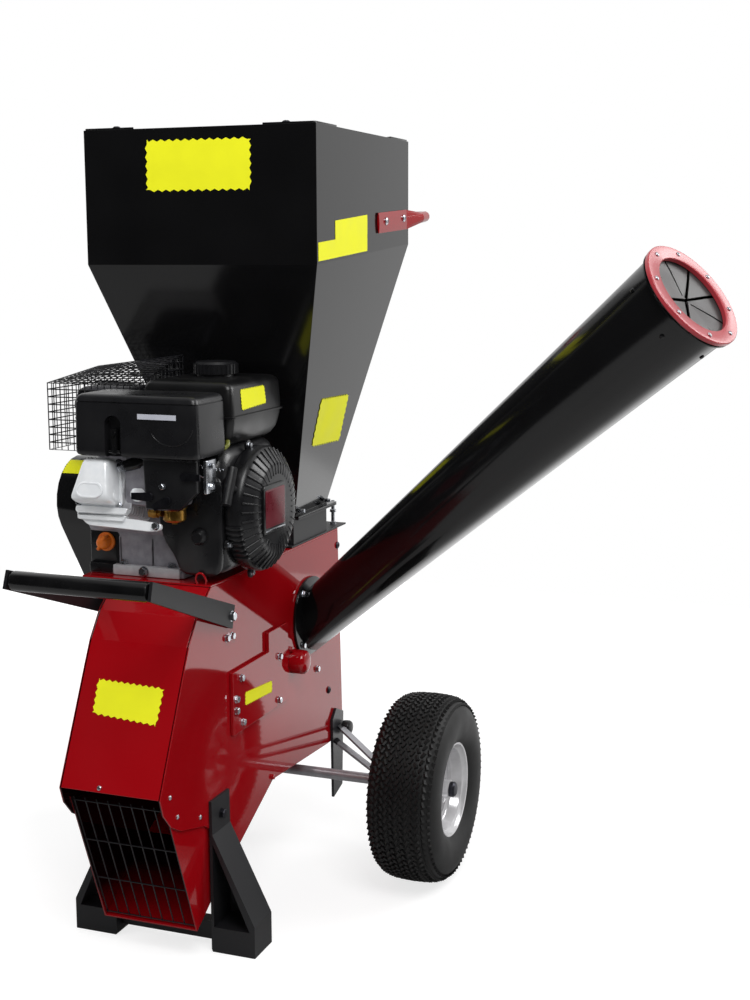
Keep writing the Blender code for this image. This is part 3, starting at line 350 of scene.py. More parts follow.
CAST_DARK = metal("die_cast_aluminium_dark", "#8b8990", "#a09ea5", 0.45, 1.6, 0.10, bare=0.35)
CAST_LIGHT = metal("die_cast_aluminium_light", "#c6c6ca", "#d8d8db", 0.32, 1.6, 0.06, bare=0.35)
LACQUERED = metal("silver_lacquered_aluminium", "#f2f5f8", "#fafcfe", 0.20, 3.0, 0.008,
                  (1, 6, 1), 0.20, 0.03)
ZINC = metal("zinc_plated_steel", "#b8bcc4", "#d4d6da", 0.22, 1.5, 0.01)
MACHINED = metal("machined_steel", "#a3a3a8", "#b4b4b8", 0.28, 1.5, 0.01, (1, 1, 5), 0.6)
BRASS = metal("brass", "#b98a3e", "#cfa257", 0.28, 1.5, 0.04)
WHEEL_SILVER = metal("wheel_paint_silver", "#d0cfd1", "#d8d7d9", 0.20, 4.0, 0.004,
                     bare=0.35, mottle=0.02)
DARK_STEEL = metal("blackened_steel", "#3a3a40", "#4a4a50", 0.40, 2.0, 0.05)
print("metals:", CAST_DARK.name, LACQUERED.name, ZINC.name, BRASS.name)

# %% [markdown]
# ## Wire, stickers and the rest
#
# The guard over the muffler is welded wire, dipped in black. The stickers are left blank:
# plain yellow vinyl with a saw-toothed edge, because this is a part without a maker.

# %% Wire and vinyl
DARK_WIRE = moulded("dipped_wire_black", "#121215", "#1a1a1e", 0.40, 3.0, 0.03)
YELLOW_VINYL = moulded("sticker_vinyl_yellow", "#f4f400", "#f8f804", 0.60, 20.0, 0.02)
SILVER_VINYL = moulded("sticker_vinyl_silver", "#b9bbc6", "#c8cad2", 0.35, 20.0, 0.02)
HOSE_GREEN = moulded("fuel_hose_yellow_green", "#6c6f2a", "#80833a", 0.35, 4.0, 0.02)
print("stickers:", YELLOW_VINYL.name, SILVER_VINYL.name)

# %% [markdown]
# ## Dressing a CAD node
#
# A flat welded sheet is already right as a solid. What it lacks is the small radius that every
# real edge has, which catches a thin line of light. Weld joins the loose triangles, and Bevel
# rounds only the edges sharper than a fold: 8 degrees on bent sheet, where every crease counts,
# and 30 on turned pieces, whose facets have to stay smooth. Both stay as modifiers, because the
# mesh of a CAD node is never changed.

# %% Rounded edges and paint on the CAD sheets


def dress(material, *names, radius=0.8 * MM, fold=30):
    """Paints CAD nodes and rounds their edges where two faces meet at more than the fold angle."""
    for name in names:
        node = NODES[name]
        node.data.materials.clear()
        node.data.materials.append(material)
        node.data.polygons.foreach_set("use_smooth", [True] * len(node.data.polygons))
        weld = node.modifiers.new("weld", "WELD")
        weld.merge_threshold = 0.01 * MM
        bevel = node.modifiers.new("edge", "BEVEL")
        bevel.width = radius
        bevel.segments = 2
        bevel.limit_method = "ANGLE"
        bevel.angle_limit = math.radians(fold)
        even = node.modifiers.new("even", "WEIGHTED_NORMAL")
        even.weight = 100


SHEET_FOLD = 8
dress(PLATE_RED, "side_plate_right", "side_plate_left", fold=SHEET_FOLD)
dress(CHUTE_RED, "discharge_chute", fold=SHEET_FOLD)
dress(RED_ENAMEL, "front_hood", "deck_plate", "rear_sheet", "access_cover", "hopper_handle",
      fold=SHEET_FOLD)
dress(RED_ENAMEL, "bearing_left")
dress(BLACK_ENAMEL, "hopper", fold=SHEET_FOLD)
dress(BLACK_ENAMEL, "belt_guard")
dress(LEG_PAINT, "leg_left", "leg_right", "hopper_collar", "tow_arm_left", "tow_arm_right",
      fold=SHEET_FOLD)
dress(BRACKET_PAINT, "rear_bracket_left", "rear_bracket_right", fold=SHEET_FOLD)
dress(LEG_PAINT, "cross_bar")
dress(MACHINED, "axle", "rotor_shaft", "knife_disc", "chipper_knife_1", "chipper_knife_2")
dress(MACHINED, "hammer_carrier", "hammer_1", "hammer_2", "hammer_3", "crankshaft")
dress(CAST_LIGHT, "rotor_pulley", "engine_pulley", radius=0.4 * MM)
dress(TYRE_RUBBER, "drive_belt", radius=0.3 * MM)
dress(SATIN_ABS, "recoil_grip", "engine_switch", radius=0.6 * MM)
dress(DARK_STEEL, "throttle_lever", "choke_lever", "fuel_valve_lever", radius=0.4 * MM)
print("dressed", sum(1 for node in NODES.values() if node.modifiers), "nodes")

# %% [markdown]
# ## Light
#
# Three soft boxes: a big one high over the right shoulder of the camera, a weaker one at the
# left, and one behind on the right that draws the long highlight on the tube.

# %% Soft boxes
AIM = at(0.1, 0.1, 0.6)


def soft_box(name, place, size, watts):
    """A square lamp that looks at the machine."""
    light = bpy.data.lights.new(name, "AREA")
    light.shape = "SQUARE"
    light.size = size
    light.energy = watts
    lamp = bpy.data.objects.new(name, light)
    lamp.location = place
    lamp.rotation_euler = (AIM - place).to_track_quat("-Z", "Y").to_euler()
    bpy.context.scene.collection.objects.link(lamp)
    return lamp


soft_box("key", at(1.5, -1.5, 3.4), 1.6, 62)
soft_box("fill", at(-2.2, -1.8, 2.6), 1.8, 26).visible_glossy = False
soft_box("back", at(2.6, 1.9, 2.4), 1.4, 40)

# %% [markdown]
# Around the lamps the studio is white to the camera. Glossy black paint shows what stands in
# front of it, so to a mirrored ray the studio is dim towards the front, and bright at the back
# and overhead, as in a hall with one lit wall. Everything else is lit by an even dim white.

# %% Studio
DIM_WHITE = 0.52
world = bpy.data.worlds.new("studio")
bpy.context.scene.world = world
world.use_nodes = True
tree = world.node_tree
tree.nodes.clear()
ray = add_node(tree, "ShaderNodeLightPath").outputs
view = add_node(tree, "ShaderNodeTexCoord").outputs["Generated"]
heading = add_node(tree, "ShaderNodeSeparateXYZ", {"Vector": view}).outputs
wall = spread(tree, heading["Y"], 0.02, 0.78, -0.05, 0.35)
ceiling = spread(tree, heading["Z"], 0.0, 0.45, 0.72, 0.95)
seen = either(tree, ray["Is Glossy Ray"], DIM_WHITE, worked_out(tree, "MAXIMUM", wall, ceiling))
strength = either(tree, ray["Is Camera Ray"], seen, 1.0)
light_all = add_node(tree, "ShaderNodeBackground", {"Color": srgb("#ffffff"), "Strength": strength})
add_node(tree, "ShaderNodeOutputWorld", {"Surface": light_all.outputs[0]})
print("studio:", DIM_WHITE, "of white on matt surfaces")

# %% [markdown]
# ## Floor
#
# A pale floor catches the shadow that seats the machine. To the camera it is as white as the
# studio, apart from that shadow, and it gets brighter towards its edge, which hides the edge.
# To a mirrored ray it is dark in front and lit at the back, like the hall above it.

# %% Floor
FLOOR_SIZE = 3.8
bpy.ops.object.select_all(action="DESELECT")
bpy.ops.mesh.primitive_plane_add(size=FLOOR_SIZE, location=at(0.1, 0.75, -0.5 * MM))
floor = bpy.context.object
floor.name = "floor"
floor_paint, tree, place = new_material("studio_floor_white")
away = add_node(tree, "ShaderNodeVectorMath", {0: place}, operation="LENGTH").outputs["Value"]
ray = add_node(tree, "ShaderNodeLightPath").outputs
lift = spread(tree, away, 0.74, 1.0, 0.7, 1.4)
behind = add_node(tree, "ShaderNodeSeparateXYZ", {"Vector": place}).outputs["Y"]
shine = spread(tree, behind, 0.06, 0.95, -0.1, 0.5)
glow = either(tree, ray["Is Camera Ray"], either(tree, ray["Is Glossy Ray"], 0.0, shine), lift)
speckle = spread(tree, noise(tree, place, 0.4), 0.0, 1.0)
surface(
    tree,
    {
        "Base Color": mixed(tree, speckle, srgb("#a2a2a2"), srgb("#a8a8a8")),
        "Roughness": 0.9,
        "Emission Color": srgb("#ffffff"),
        "Emission Strength": glow,
    },
)
floor.data.materials.append(floor_paint)
print("floor", tuple(round(side, 1) for side in floor.dimensions))

# %% [markdown]
# ## Modelling by hand, in code
#
# The steps are the ones a person takes in the window: add a primitive, go into edit mode,
# select some faces, extrude or bevel them. An operator works on whatever is selected, so each
# step starts by selecting nothing. `pick` then selects by a test on each face or edge.

# %% Helpers for selecting
WELD = 1e-5  # points closer than this are one


def deselect():
    bpy.ops.object.select_all(action="DESELECT")


def only(piece):
    """Selects one piece and makes it the active one."""
    deselect()
    piece.select_set(True)
    bpy.context.view_layer.objects.active = piece


def edit(piece):
    """Goes into edit mode with nothing selected."""
    only(piece)
    bpy.ops.object.mode_set(mode="EDIT")
    bpy.ops.mesh.select_mode(type="VERT")
    bpy.ops.mesh.select_all(action="DESELECT")


def done():
    """Merges doubles, turns every face outwards and leaves edit mode."""
    bpy.ops.mesh.select_all(action="SELECT")
    bpy.ops.mesh.remove_doubles(threshold=WELD)
    bpy.ops.mesh.normals_make_consistent(inside=False)
    bpy.ops.object.mode_set(mode="OBJECT")


def pick(test, kind="FACE"):
    """In edit mode, selects the faces, edges or vertices that pass a test."""
    bpy.ops.mesh.select_mode(type=kind)
    bpy.ops.mesh.select_all(action="DESELECT")
    mesh = bpy.context.object.data
    bm = bmesh.from_edit_mesh(mesh)
    for part in {"FACE": bm.faces, "EDGE": bm.edges, "VERT": bm.verts}[kind]:
        part.select_set(bool(test(part)))
    bmesh.update_edit_mesh(mesh)


def facing(direction):
    """A test: the face looks about this way."""
    return lambda face: face.normal.dot(Vector(direction).normalized()) > 0.9


print("points closer than", WELD, "m are merged")

# %% [markdown]
# Three ways to start a shape: a box between two corners, a bar or cone between two points, and
# a profile spun round an axis, as on a lathe. The profile is drawn as a person would: a point,
# extruded from step to step. Each primitive's place goes straight into its mesh.

# %% Helpers for starting a shape


def named(name):
    """Names the new primitive and puts its place into its mesh."""
    piece = bpy.context.object
    piece.name = piece.data.name = name
    bpy.ops.object.transform_apply(location=True, rotation=True, scale=True)
    return piece


def block(name, low, high):
    """A box between two corners."""
    low, high = Vector(low), Vector(high)
    deselect()
    bpy.ops.mesh.primitive_cube_add(size=1, location=(low + high) / 2)
    bpy.context.object.scale = high - low
    return named(name)


def barrel(name, start, end, radius, end_radius=None, sides=24):
    """A round bar or cone between two points."""
    start, end = Vector(start), Vector(end)
    run = end - start
    deselect()
    bpy.ops.mesh.primitive_cone_add(
        vertices=sides,
        radius1=radius,
        radius2=radius if end_radius is None else end_radius,
        depth=run.length,
        location=(start + end) / 2,
        rotation=run.to_track_quat("Z", "Y").to_euler(),
    )
    return named(name)


def spun(name, profile, foot, axis, steps=48):
    """A profile of (along, out) points, spun round an axis through the foot."""
    axis, foot = Vector(axis).normalized(), Vector(foot)
    out = axis.orthogonal().normalized()
    deselect()
    bpy.ops.mesh.primitive_plane_add(size=MM)
    piece = named(name)
    edit(piece)
    bpy.ops.mesh.select_all(action="SELECT")
    bpy.ops.mesh.merge(type="CENTER")
    bpy.ops.transform.translate(value=foot + axis * profile[0][0] + out * profile[0][1])
    for before, after in zip(profile, profile[1:]):
        step = axis * (after[0] - before[0]) + out * (after[1] - before[1])
        bpy.ops.mesh.extrude_region_move(TRANSFORM_OT_translate={"value": step})
    bpy.ops.mesh.select_all(action="SELECT")
    bpy.ops.mesh.spin(steps=steps, angle=2 * math.pi, center=foot, axis=axis)
    done()
    return piece


print("a lathe turns a profile in 48 steps, unless it says otherwise")

# %% [markdown]
# Two ways to go on: the Bevel modifier rounds the edges, and a Boolean cuts a pocket. Both are
# applied at once, so that what follows works on the finished shape.

# %% Helpers for rounding and cutting


def rounded(piece, width, segments=2):
    """Rounds every edge sharper than 30 degrees."""
    only(piece)
    bevel = piece.modifiers.new("round", "BEVEL")
    bevel.width = width
    bevel.segments = segments
    bevel.limit_method = "ANGLE"
    bevel.angle_limit = math.radians(30)
    bpy.ops.object.modifier_apply(modifier=bevel.name)
    return piece


def carve(piece, cutter):
    """Cuts one piece from another and removes the cutter."""
    only(piece)
    cut = piece.modifiers.new("carve", "BOOLEAN")
    cut.object = cutter
    cut.operation = "DIFFERENCE"
    cut.solver = "EXACT"
    bpy.ops.object.modifier_apply(modifier=cut.name)
    bpy.data.objects.remove(cutter)


print("edges are rounded from a fold of 30 degrees")

# %% [markdown]
# A shape that changes on its way, such as a square that turns round, has no operator. It is laid
# as a skin through rings of points. What repeats is one master, copied to its places as one
# mesh, which is lighter than an object for each copy.

# %% Helpers for skins and copies


def new_piece(name, bm):
    """An object of its own for a mesh made in code."""
    mesh = bpy.data.meshes.new(name)
    bm.to_mesh(mesh)
    piece = bpy.data.objects.new(name, mesh)
    bpy.context.scene.collection.objects.link(piece)
    return piece


def skin(name, rings, loop=False):
    """A shape through rings of points: closed at both ends, or joined end to start."""
    bm = bmesh.new()
    rows = [[bm.verts.new(point) for point in ring] for ring in rings]
    pairs = list(zip(rows, rows[1:])) + ([(rows[-1], rows[0])] if loop else [])
    for low, high in pairs:
        for k in range(len(low)):
            bm.faces.new((low[k - 1], low[k], high[k], high[k - 1]))
    if not loop:
        bm.faces.new(rows[0])
        bm.faces.new(rows[-1])
    bmesh.ops.recalc_face_normals(bm, faces=bm.faces)
    return new_piece(name, bm)


def turned_to(point, direction, roll=0.0):
    """The place of a copy: its foot at the point, its +Z along the direction."""
    turn = Vector(direction).to_track_quat("Z", "Y").to_matrix().to_4x4()
    return Matrix.Translation(Vector(point)) @ turn @ Matrix.Rotation(roll, 4, "Z")


def copied(name, master, places):
    """Copies of a master in one mesh, one for each place."""
    bm = bmesh.new()
    for place in places:
        mesh = master.data.copy()
        mesh.transform(place)
        bm.from_mesh(mesh)
        bpy.data.meshes.remove(mesh)
    return new_piece(name, bm)


def joined(name, *pieces):
    """Several pieces as one."""
    deselect()
    for piece in pieces:
        piece.select_set(True)
    bpy.context.view_layer.objects.active = pieces[0]
    bpy.ops.object.join()
    pieces[0].name = pieces[0].data.name = name
    return pieces[0]


def on_circle(centre, across, up, radius, degrees):
    """A point on a circle, and the way from the centre to it."""
    turn = math.radians(degrees)
    way = across * math.cos(turn) + up * math.sin(turn)
    return centre + way * radius, way


print("a skin needs rings with the same number of points")

# %% [markdown]
# Every finished piece goes through one last step. It is shaded smooth up to an angle, painted,
# and tied to the body that it moves with. If it takes the place of a CAD node, it says so.

# %% Helper for finishing a piece


def settle(piece, body, slot, material, *stands_for, smooth=35):
    """Shades and paints a finished piece, and ties it to its body."""
    only(piece)
    bpy.ops.object.shade_smooth_by_angle(angle=math.radians(smooth))
    piece.data.materials.clear()
    piece.data.materials.append(material)
    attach(piece, body)
    if stands_for:
        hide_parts(*stands_for)
    print(piece.name, len(piece.data.polygons), "faces on", body)


print("pieces are smooth up to 35 degrees, unless they say otherwise")

# %% [markdown]
# ## Fasteners
#
# The machine is held together by a few kinds of screw. Each kind is modelled once, standing on
# the origin and pointing up, and later copied to its places. A hexagon bolt is a six-sided
# cylinder whose top face is inset and lifted, which makes the chamfer, on a turned washer.

# %% Bolts and screws
WASHER_THICK = 0.8 * MM
CORNER_SHARE = 0.577  # a hexagon's corner radius, as a share of its width across flats


def hex_bolt(name, flats, height, washer):
    """A hexagon head with a chamfer, on a washer, pointing along +Z."""
    foot = Z * WASHER_THICK
    head = barrel(name, foot, foot + Z * height, flats * CORNER_SHARE, sides=6)
    edit(head)
    pick(facing(Z))
    bpy.ops.mesh.inset(thickness=flats * 0.07, depth=height * 0.14)
    done()
    profile = [(0, 0), (0, washer), (WASHER_THICK, washer), (WASHER_THICK, 0)]
    disc = spun(name, profile, (0, 0, 0), Z, 20)
    return joined(name, head, disc)


def dome_screw(name, radius, height):
    """A round-headed screw with a shallow cross recess."""
    profile = [(0, 0), (0, radius), (height * 0.45, radius), (height * 0.85, radius * 0.72)]
    head = spun(name, profile + [(height, radius * 0.35), (height, 0)], (0, 0, 0), Z, 16)
    slot = radius * 0.14
    for wide, deep in ((radius * 0.6, slot), (slot, radius * 0.6)):
        carve(head, block("slot", (-wide, -deep, height * 0.6), (wide, deep, height * 1.5)))
    return head


M8 = hex_bolt("m8", 13 * MM, 5.3 * MM, 8.5 * MM)
M6 = hex_bolt("m6", 10 * MM, 4 * MM, 6.2 * MM)
M5 = hex_bolt("m5", 8 * MM, 3.5 * MM, 5 * MM)
SCREW = dome_screw("screw", 3.6 * MM, 2.2 * MM)
BIG_SCREW = dome_screw("big_screw", 6.5 * MM, 4.0 * MM)
MASTERS = [M8, M6, M5, SCREW, BIG_SCREW]
print("fasteners:", [(master.name, len(master.data.polygons)) for master in MASTERS])

# %% [markdown]
# Copies of a fastener are set at points, each with a direction. Nobody stops a spanner at the
# same angle twice, so each copy is turned a little further than the one before.

# %% Helper for setting fasteners


def fasten(name, master, body, places, material=ZINC, slot="bright_steel"):
    """Copies of a fastener at (point, direction) places."""
    spots = [turned_to(point, way, 0.4 * k) for k, (point, way) in enumerate(places)]
    settle(copied(name, master, spots), body, slot, material)


print("fasteners are", ZINC.name, "unless they say otherwise")

# %% [markdown]
# ## Wheels
#
# A turf tyre spreads a machine's load on a lawn, so its tread is many small low blocks instead
# of a few deep lugs. The carcass is a profile spun round the axle. One block is modelled, a
# row of them is set across the crown and over the shoulders, and the row is repeated round.

# %% Tyre profile
CROWN = [(0.0, 0.1612), (0.022, 0.1604), (0.040, 0.1572), (0.052, 0.1500), (0.0595, 0.1395)]
SIDEWALL = [(0.0628, 0.128), (0.0634, 0.117), (0.0622, 0.104), (0.058, 0.092), (0.0525, 0.083)]
BEAD = [(0.047, 0.0775), (0.045, 0.0745)]



def mirrored(points):
    """The same points on both sides of the middle, from -x to +x."""
    return [(-x, r) for x, r in points[::-1] if x > 0] + list(points)


def on_crown(x):
    """Radius and slope of the carcass at this distance from its middle."""
    for (x0, r0), (x1, r1) in zip(CROWN, CROWN[1:]):
        if abs(x) <= x1:
            slope = (r1 - r0) / (x1 - x0)
            return r0 + slope * (abs(x) - x0), math.copysign(math.atan(slope), x)
    return CROWN[-1][1], 0


HALF_TYRE = CROWN + SIDEWALL + BEAD
print("tyre", round(2 * max(x for x, r in HALF_TYRE), 4), "m wide")

# %% [markdown]
# The block is a cube whose top is drawn in, so that it leaves its mould, and whose hidden
# underside is deleted. Neighbouring blocks lean opposite ways, which gives the herringbone.

# %% Tread
TREAD_STEPS, TREAD_ROWS, ROW_WIDTH = 78, 6, 9.0 * MM
BLOCK_LEAN = math.radians(28)


def tread_block():
    """One low block, narrower at its top, with +Z outwards."""
    cube = block("tread", (-2.6 * MM, -5.2 * MM, -1.0 * MM), (2.6 * MM, 5.2 * MM, 3.7 * MM))
    edit(cube)
    pick(facing(Z))
    bpy.ops.transform.resize(value=(0.72, 0.86, 1), center_override=(0, 0, 0))
    pick(facing(-Z))
    bpy.ops.mesh.delete(type="FACE")
    bpy.ops.object.mode_set(mode="OBJECT")
    return cube


def tread_places(centre):
    """A matrix for each block: rows across the crown, turned left and right by turns."""
    places = []
    for step in range(TREAD_STEPS):
        for row in range(-TREAD_ROWS, TREAD_ROWS + 1):
            x = row * ROW_WIDTH
            radius, lean = on_crown(x)
            turn = 2 * math.pi * (step + (row % 2) / 2) / TREAD_STEPS
            spin = Matrix.Rotation(turn, 4, "X")
            tilt = Matrix.Rotation(-lean, 4, "Y")
            skew = Matrix.Rotation(BLOCK_LEAN if row % 2 else -BLOCK_LEAN, 4, "Z")
            rise = Matrix.Translation((x, 0, radius))
            places.append(Matrix.Translation(centre) @ spin @ rise @ tilt @ skew)
    return places


master = tread_block()
ring = mirrored(HALF_TYRE)
for side in ("right", "left"):
    tyre, body = "tyre_" + side, "wheel_" + side
    carcass = spun(tyre + "_carcass", ring + [ring[0]], middle(tyre), X, 96)
    settle(carcass, body, "tyre", TYRE_RUBBER, tyre, smooth=50)
    blocks = copied(tyre + "_tread", master, tread_places(middle(tyre)))
    settle(blocks, body, "tyre", TYRE_RUBBER, smooth=20)
bpy.data.objects.remove(master)

# %% [markdown]
# ## Rims
#
# The rim is two pressings welded at the disc, deep inside. Its profile is followed from the hub
# over the disc, along the barrel with its step for the tyre's bead, and round the rolled lip.
# Four nuts hold it on the hub, the valve leans out of the barrel, and a cap closes the axle.

# %% Rims
RIM = [
    (-0.045, 0.0105), (0.045, 0.0105), (0.045, 0.0155), (-0.006, 0.0205), (-0.012, 0.026),
    (-0.014, 0.034), (-0.016, 0.044), (-0.012, 0.0555), (-0.006, 0.0585), (0.018, 0.0590),
    (0.0215, 0.0605), (0.0245, 0.0660), (0.0275, 0.0680), (0.041, 0.0695), (0.0440, 0.0712),
    (0.0465, 0.0758), (0.0490, 0.0775), (0.0512, 0.0790), (0.0520, 0.0815),
    (0.0510, 0.0855), (0.0485, 0.0860), (0.0475, 0.0800), (0.0450, 0.0742), (0.0280, 0.0735),
    (0.0220, 0.0600), (-0.0240, 0.0600), (-0.0300, 0.0735), (-0.0450, 0.0742), (-0.0475, 0.0800),
    (-0.0485, 0.0860), (-0.0510, 0.0855), (-0.0520, 0.0815), (-0.0510, 0.0760), (-0.0485, 0.0715),
    (-0.0400, 0.0695), (-0.0260, 0.0665), (-0.0200, 0.0575), (-0.0060, 0.0535), (-0.0040, 0.048),
    (-0.0060, 0.034), (-0.0080, 0.022), (-0.0450, 0.0205), (-0.045, 0.0105),
]
VALVE = [
    (0, 0), (0, 0.0070), (0.010, 0.0060), (0.022, 0.0045), (0.038, 0.0042), (0.040, 0.0032),
    (0.040, 0),
]
HUB_CAP = [(0, 0), (0, 0.0135), (0.006, 0.0135), (0.0095, 0.0105), (0.011, 0)]
NUT_CIRCLE, VALVE_CIRCLE, VALVE_TURN = 0.040, 0.050, 78
for side, out in (("right", X), ("left", -X)):
    rim, body, centre = "rim_" + side, "wheel_" + side, middle("rim_" + side)
    steel = spun(rim + "_steel", RIM, centre, out, 72)
    settle(steel, body, "bright_steel", WHEEL_SILVER, rim, smooth=28)
    nuts = [on_circle(centre - out * 0.015, Y, Z, NUT_CIRCLE, 45 + 90 * k)[0] for k in range(4)]
    fasten(rim + "_nuts", M8, body, [(nut, out) for nut in nuts])
    foot, way = on_circle(centre - out * 0.012, Y, Z, VALVE_CIRCLE, VALVE_TURN)
    valve = spun(rim + "_valve", VALVE, foot, out - way * 0.15, 16)
    settle(valve, body, "rubber", GRIP_RUBBER)
    cap = spun(rim + "_hub_cap", HUB_CAP, centre + out * 0.0455, out, 32)
    settle(cap, body, "bright_steel", DARK_STEEL)

# %% [markdown]
# ## The chipper tube
#
# Branches go down this long cone on to the knife disc. It is rolled from sheet: square with
# soft corners where it meets the housing, round at its mouth. No operator turns a square into
# a circle along a line, so its skin is laid through rings, each a little rounder than the last.

# %% Shape of the tube
FOOT = at(0.0861, 0.398, 0.441)
MOUTH = middle("mouth_ring")
TUBE_AXIS = (MOUTH - FOOT).normalized()
TUBE_SIDE = TUBE_AXIS.cross(Vector((0, 0, 1))).normalized()
TUBE_UP = TUBE_SIDE.cross(TUBE_AXIS)
TUBE_LENGTH, TUBE_WALL = 0.950, 2 * MM
TUBE_RINGS = 24


def squircle(radius, power, count=64):
    """Points round a shape between a circle, power 2, and a square."""
    points = []
    for k in range(count):
        c, s = math.cos(2 * math.pi * k / count), math.sin(2 * math.pi * k / count)
        x = math.copysign(abs(c) ** (2 / power), c) * radius
        points.append((x, math.copysign(abs(s) ** (2 / power), s) * radius))
    return points


def tube_ring(reach, radius, power=2.0, wall_x=None):
    """A ring of the tube, square to its axis, or slid along it on to an upright plane."""
    centre = FOOT + TUBE_AXIS * reach
    ring = [centre + TUBE_SIDE * a + TUBE_UP * b for a, b in squircle(radius, power)]
    if wall_x is None:
        return ring
    return [point + TUBE_AXIS * ((wall_x - point.x) / TUBE_AXIS.x) for point in ring]


def tube_radius(share):
    """The radius at this share of the length: it widens a little faster towards the mouth."""
    return 0.0425 + 0.0375 * share**1.1


print("tube", round(tube_radius(0), 4), "to", round(tube_radius(1), 4), "m in radius")

# %% [markdown]
# The rings go up the outside, over the lip at the mouth and back down the inside, and the last
# is joined to the first. That way the wall is closed and has its real thickness.

# %% Chipper tube
LIP_R = 0.0853
outer, inner = [], []
for k in range(TUBE_RINGS + 1):
    share = k / TUBE_RINGS
    power = 2 + 1.5 * (1 - share) ** 2
    wall_x = FOOT.x if k == 0 else None
    outer.append(tube_ring(share * TUBE_LENGTH, tube_radius(share), power, wall_x))
    inner.append(tube_ring(share * TUBE_LENGTH, tube_radius(share) - TUBE_WALL, power, wall_x))
lip = [tube_ring(TUBE_LENGTH, LIP_R), tube_ring(TUBE_LENGTH + TUBE_WALL, LIP_R)]
tube = skin("chipper_tube_cone", outer + lip + inner[::-1], loop=True)
settle(tube, "machine", "black_paint", BLACK_ENAMEL, "chipper_tube", smooth=40)

# %% [markdown]
# At its foot the tube has a flange of thick plate, held by four bolts, and six black screws
# stand round it below the mouth.

# %% Tube flange and screws
FLANGE_CENTRE, FLANGE_R, FLANGE_THICK = at(0.0861, 0.389, 0.456), 0.0705, X * 5 * MM
FLANGE_BOLTS, SCREW_REACH = 0.0605, TUBE_LENGTH - 0.030
foot_ring = [FLANGE_CENTRE - Y * a + Z * b for a, b in squircle(FLANGE_R, 2.2, 48)]
flange = skin("chipper_tube_flange", [foot_ring, [point + FLANGE_THICK for point in foot_ring]])
settle(rounded(flange, 1 * MM), "machine", "black_paint", BLACK_ENAMEL)
spots = []
for degrees in (48, 128, 228, 312):
    spots.append((on_circle(FLANGE_CENTRE + FLANGE_THICK, Y, Z, FLANGE_BOLTS, degrees)[0], X))
fasten("chipper_tube_bolts", M6, "machine", spots)
screw_centre = FOOT + TUBE_AXIS * SCREW_REACH
spots = [on_circle(screw_centre, TUBE_SIDE, TUBE_UP, 0.0788, 30 + 60 * k) for k in range(6)]
fasten("chipper_tube_screws", SCREW, "machine", spots, BLACK_ENAMEL, "black_paint")

# %% [markdown]
# ## The mouth ring and its flap
#
# A red steel ring clamps a rubber flap over the mouth. The flap is a disc slit into eight
# petals, which let a branch in and keep chips from flying out. Worn petals sag inwards a
# little at the middle, and dark gaps show between them.

# %% Mouth ring
RING_HALF = TUBE_AXIS * 3.5 * MM
ring_profile = [
    (0, 0.064), (0, 0.0850), (0.0008, 0.0863), (0.0058, 0.0863), (0.007, 0.0850),
    (0.007, 0.0655), (0.0060, 0.064), (0, 0.064),
]
ring = spun("mouth_ring_steel", ring_profile, MOUTH - RING_HALF, TUBE_AXIS, 72)
settle(ring, "machine", "red_paint", RING_RED, "mouth_ring", smooth=40)
spots = []
for k in range(8):
    spots.append((on_circle(MOUTH + RING_HALF, TUBE_SIDE, TUBE_UP, 0.0755, 22.5 + 45 * k)[0], TUBE_AXIS))
fasten("mouth_ring_screws", SCREW, "machine", spots)

# %% [markdown]
# Each petal is a fan of faces from its tip over a bend to its rim, so the sag is a real shape.
# Every third tip sags less than the others. Solidify gives the sheet its thickness.

# %% Rubber flap
PETALS, PETAL_STEPS, FLAP_R = 8, 9, 0.083
HALF_SLIT = math.degrees(0.030)
FLAP = middle("mouth_flap")


def petal(index):
    """One petal: a fan whose tip stands a little off the middle, and sags inwards."""
    turn = 360 * (index + 0.5) / PETALS
    half_turn = 180 / PETALS - HALF_SLIT
    tip = on_circle(FLAP, TUBE_SIDE, TUBE_UP, 3 * MM, turn)[0]
    tip = tip - TUBE_AXIS * (9 if index % 3 else 5) * MM
    rim = []
    for k in range(PETAL_STEPS + 1):
        degrees = turn - half_turn + 2 * half_turn * k / PETAL_STEPS
        rim.append(on_circle(FLAP, TUBE_SIDE, TUBE_UP, FLAP_R, degrees)[0])
    bend = [tip + (point - tip) * 0.55 + TUBE_AXIS * 1.0 * MM for point in rim]
    return tip, bend, rim


bm = bmesh.new()
for index in range(PETALS):
    tip, bend, rim = petal(index)
    middle_row = [bm.verts.new(point) for point in bend]
    edge_row = [bm.verts.new(point) for point in rim]
    point = bm.verts.new(tip)
    for k in range(PETAL_STEPS):
        bm.faces.new((point, middle_row[k], middle_row[k + 1]))
        bm.faces.new((middle_row[k], edge_row[k], edge_row[k + 1], middle_row[k + 1]))
flap = new_piece("mouth_flap_petals", bm)
only(flap)
wall = flap.modifiers.new("wall", "SOLIDIFY")
wall.thickness = 1.6 * MM
wall.offset = 0
bpy.ops.object.modifier_apply(modifier=wall.name)
settle(flap, "machine", "rubber", FLAP_RUBBER, "mouth_flap", smooth=30)

# %% [markdown]
# ## The discharge grille
#
# Round wires welded where they cross keep feet out of the rotor. A straight wire needs no
# modelling: one bar is made, and copied across the mouth and up it. The cross wires lie behind
# the upright ones, as welded mesh has them.

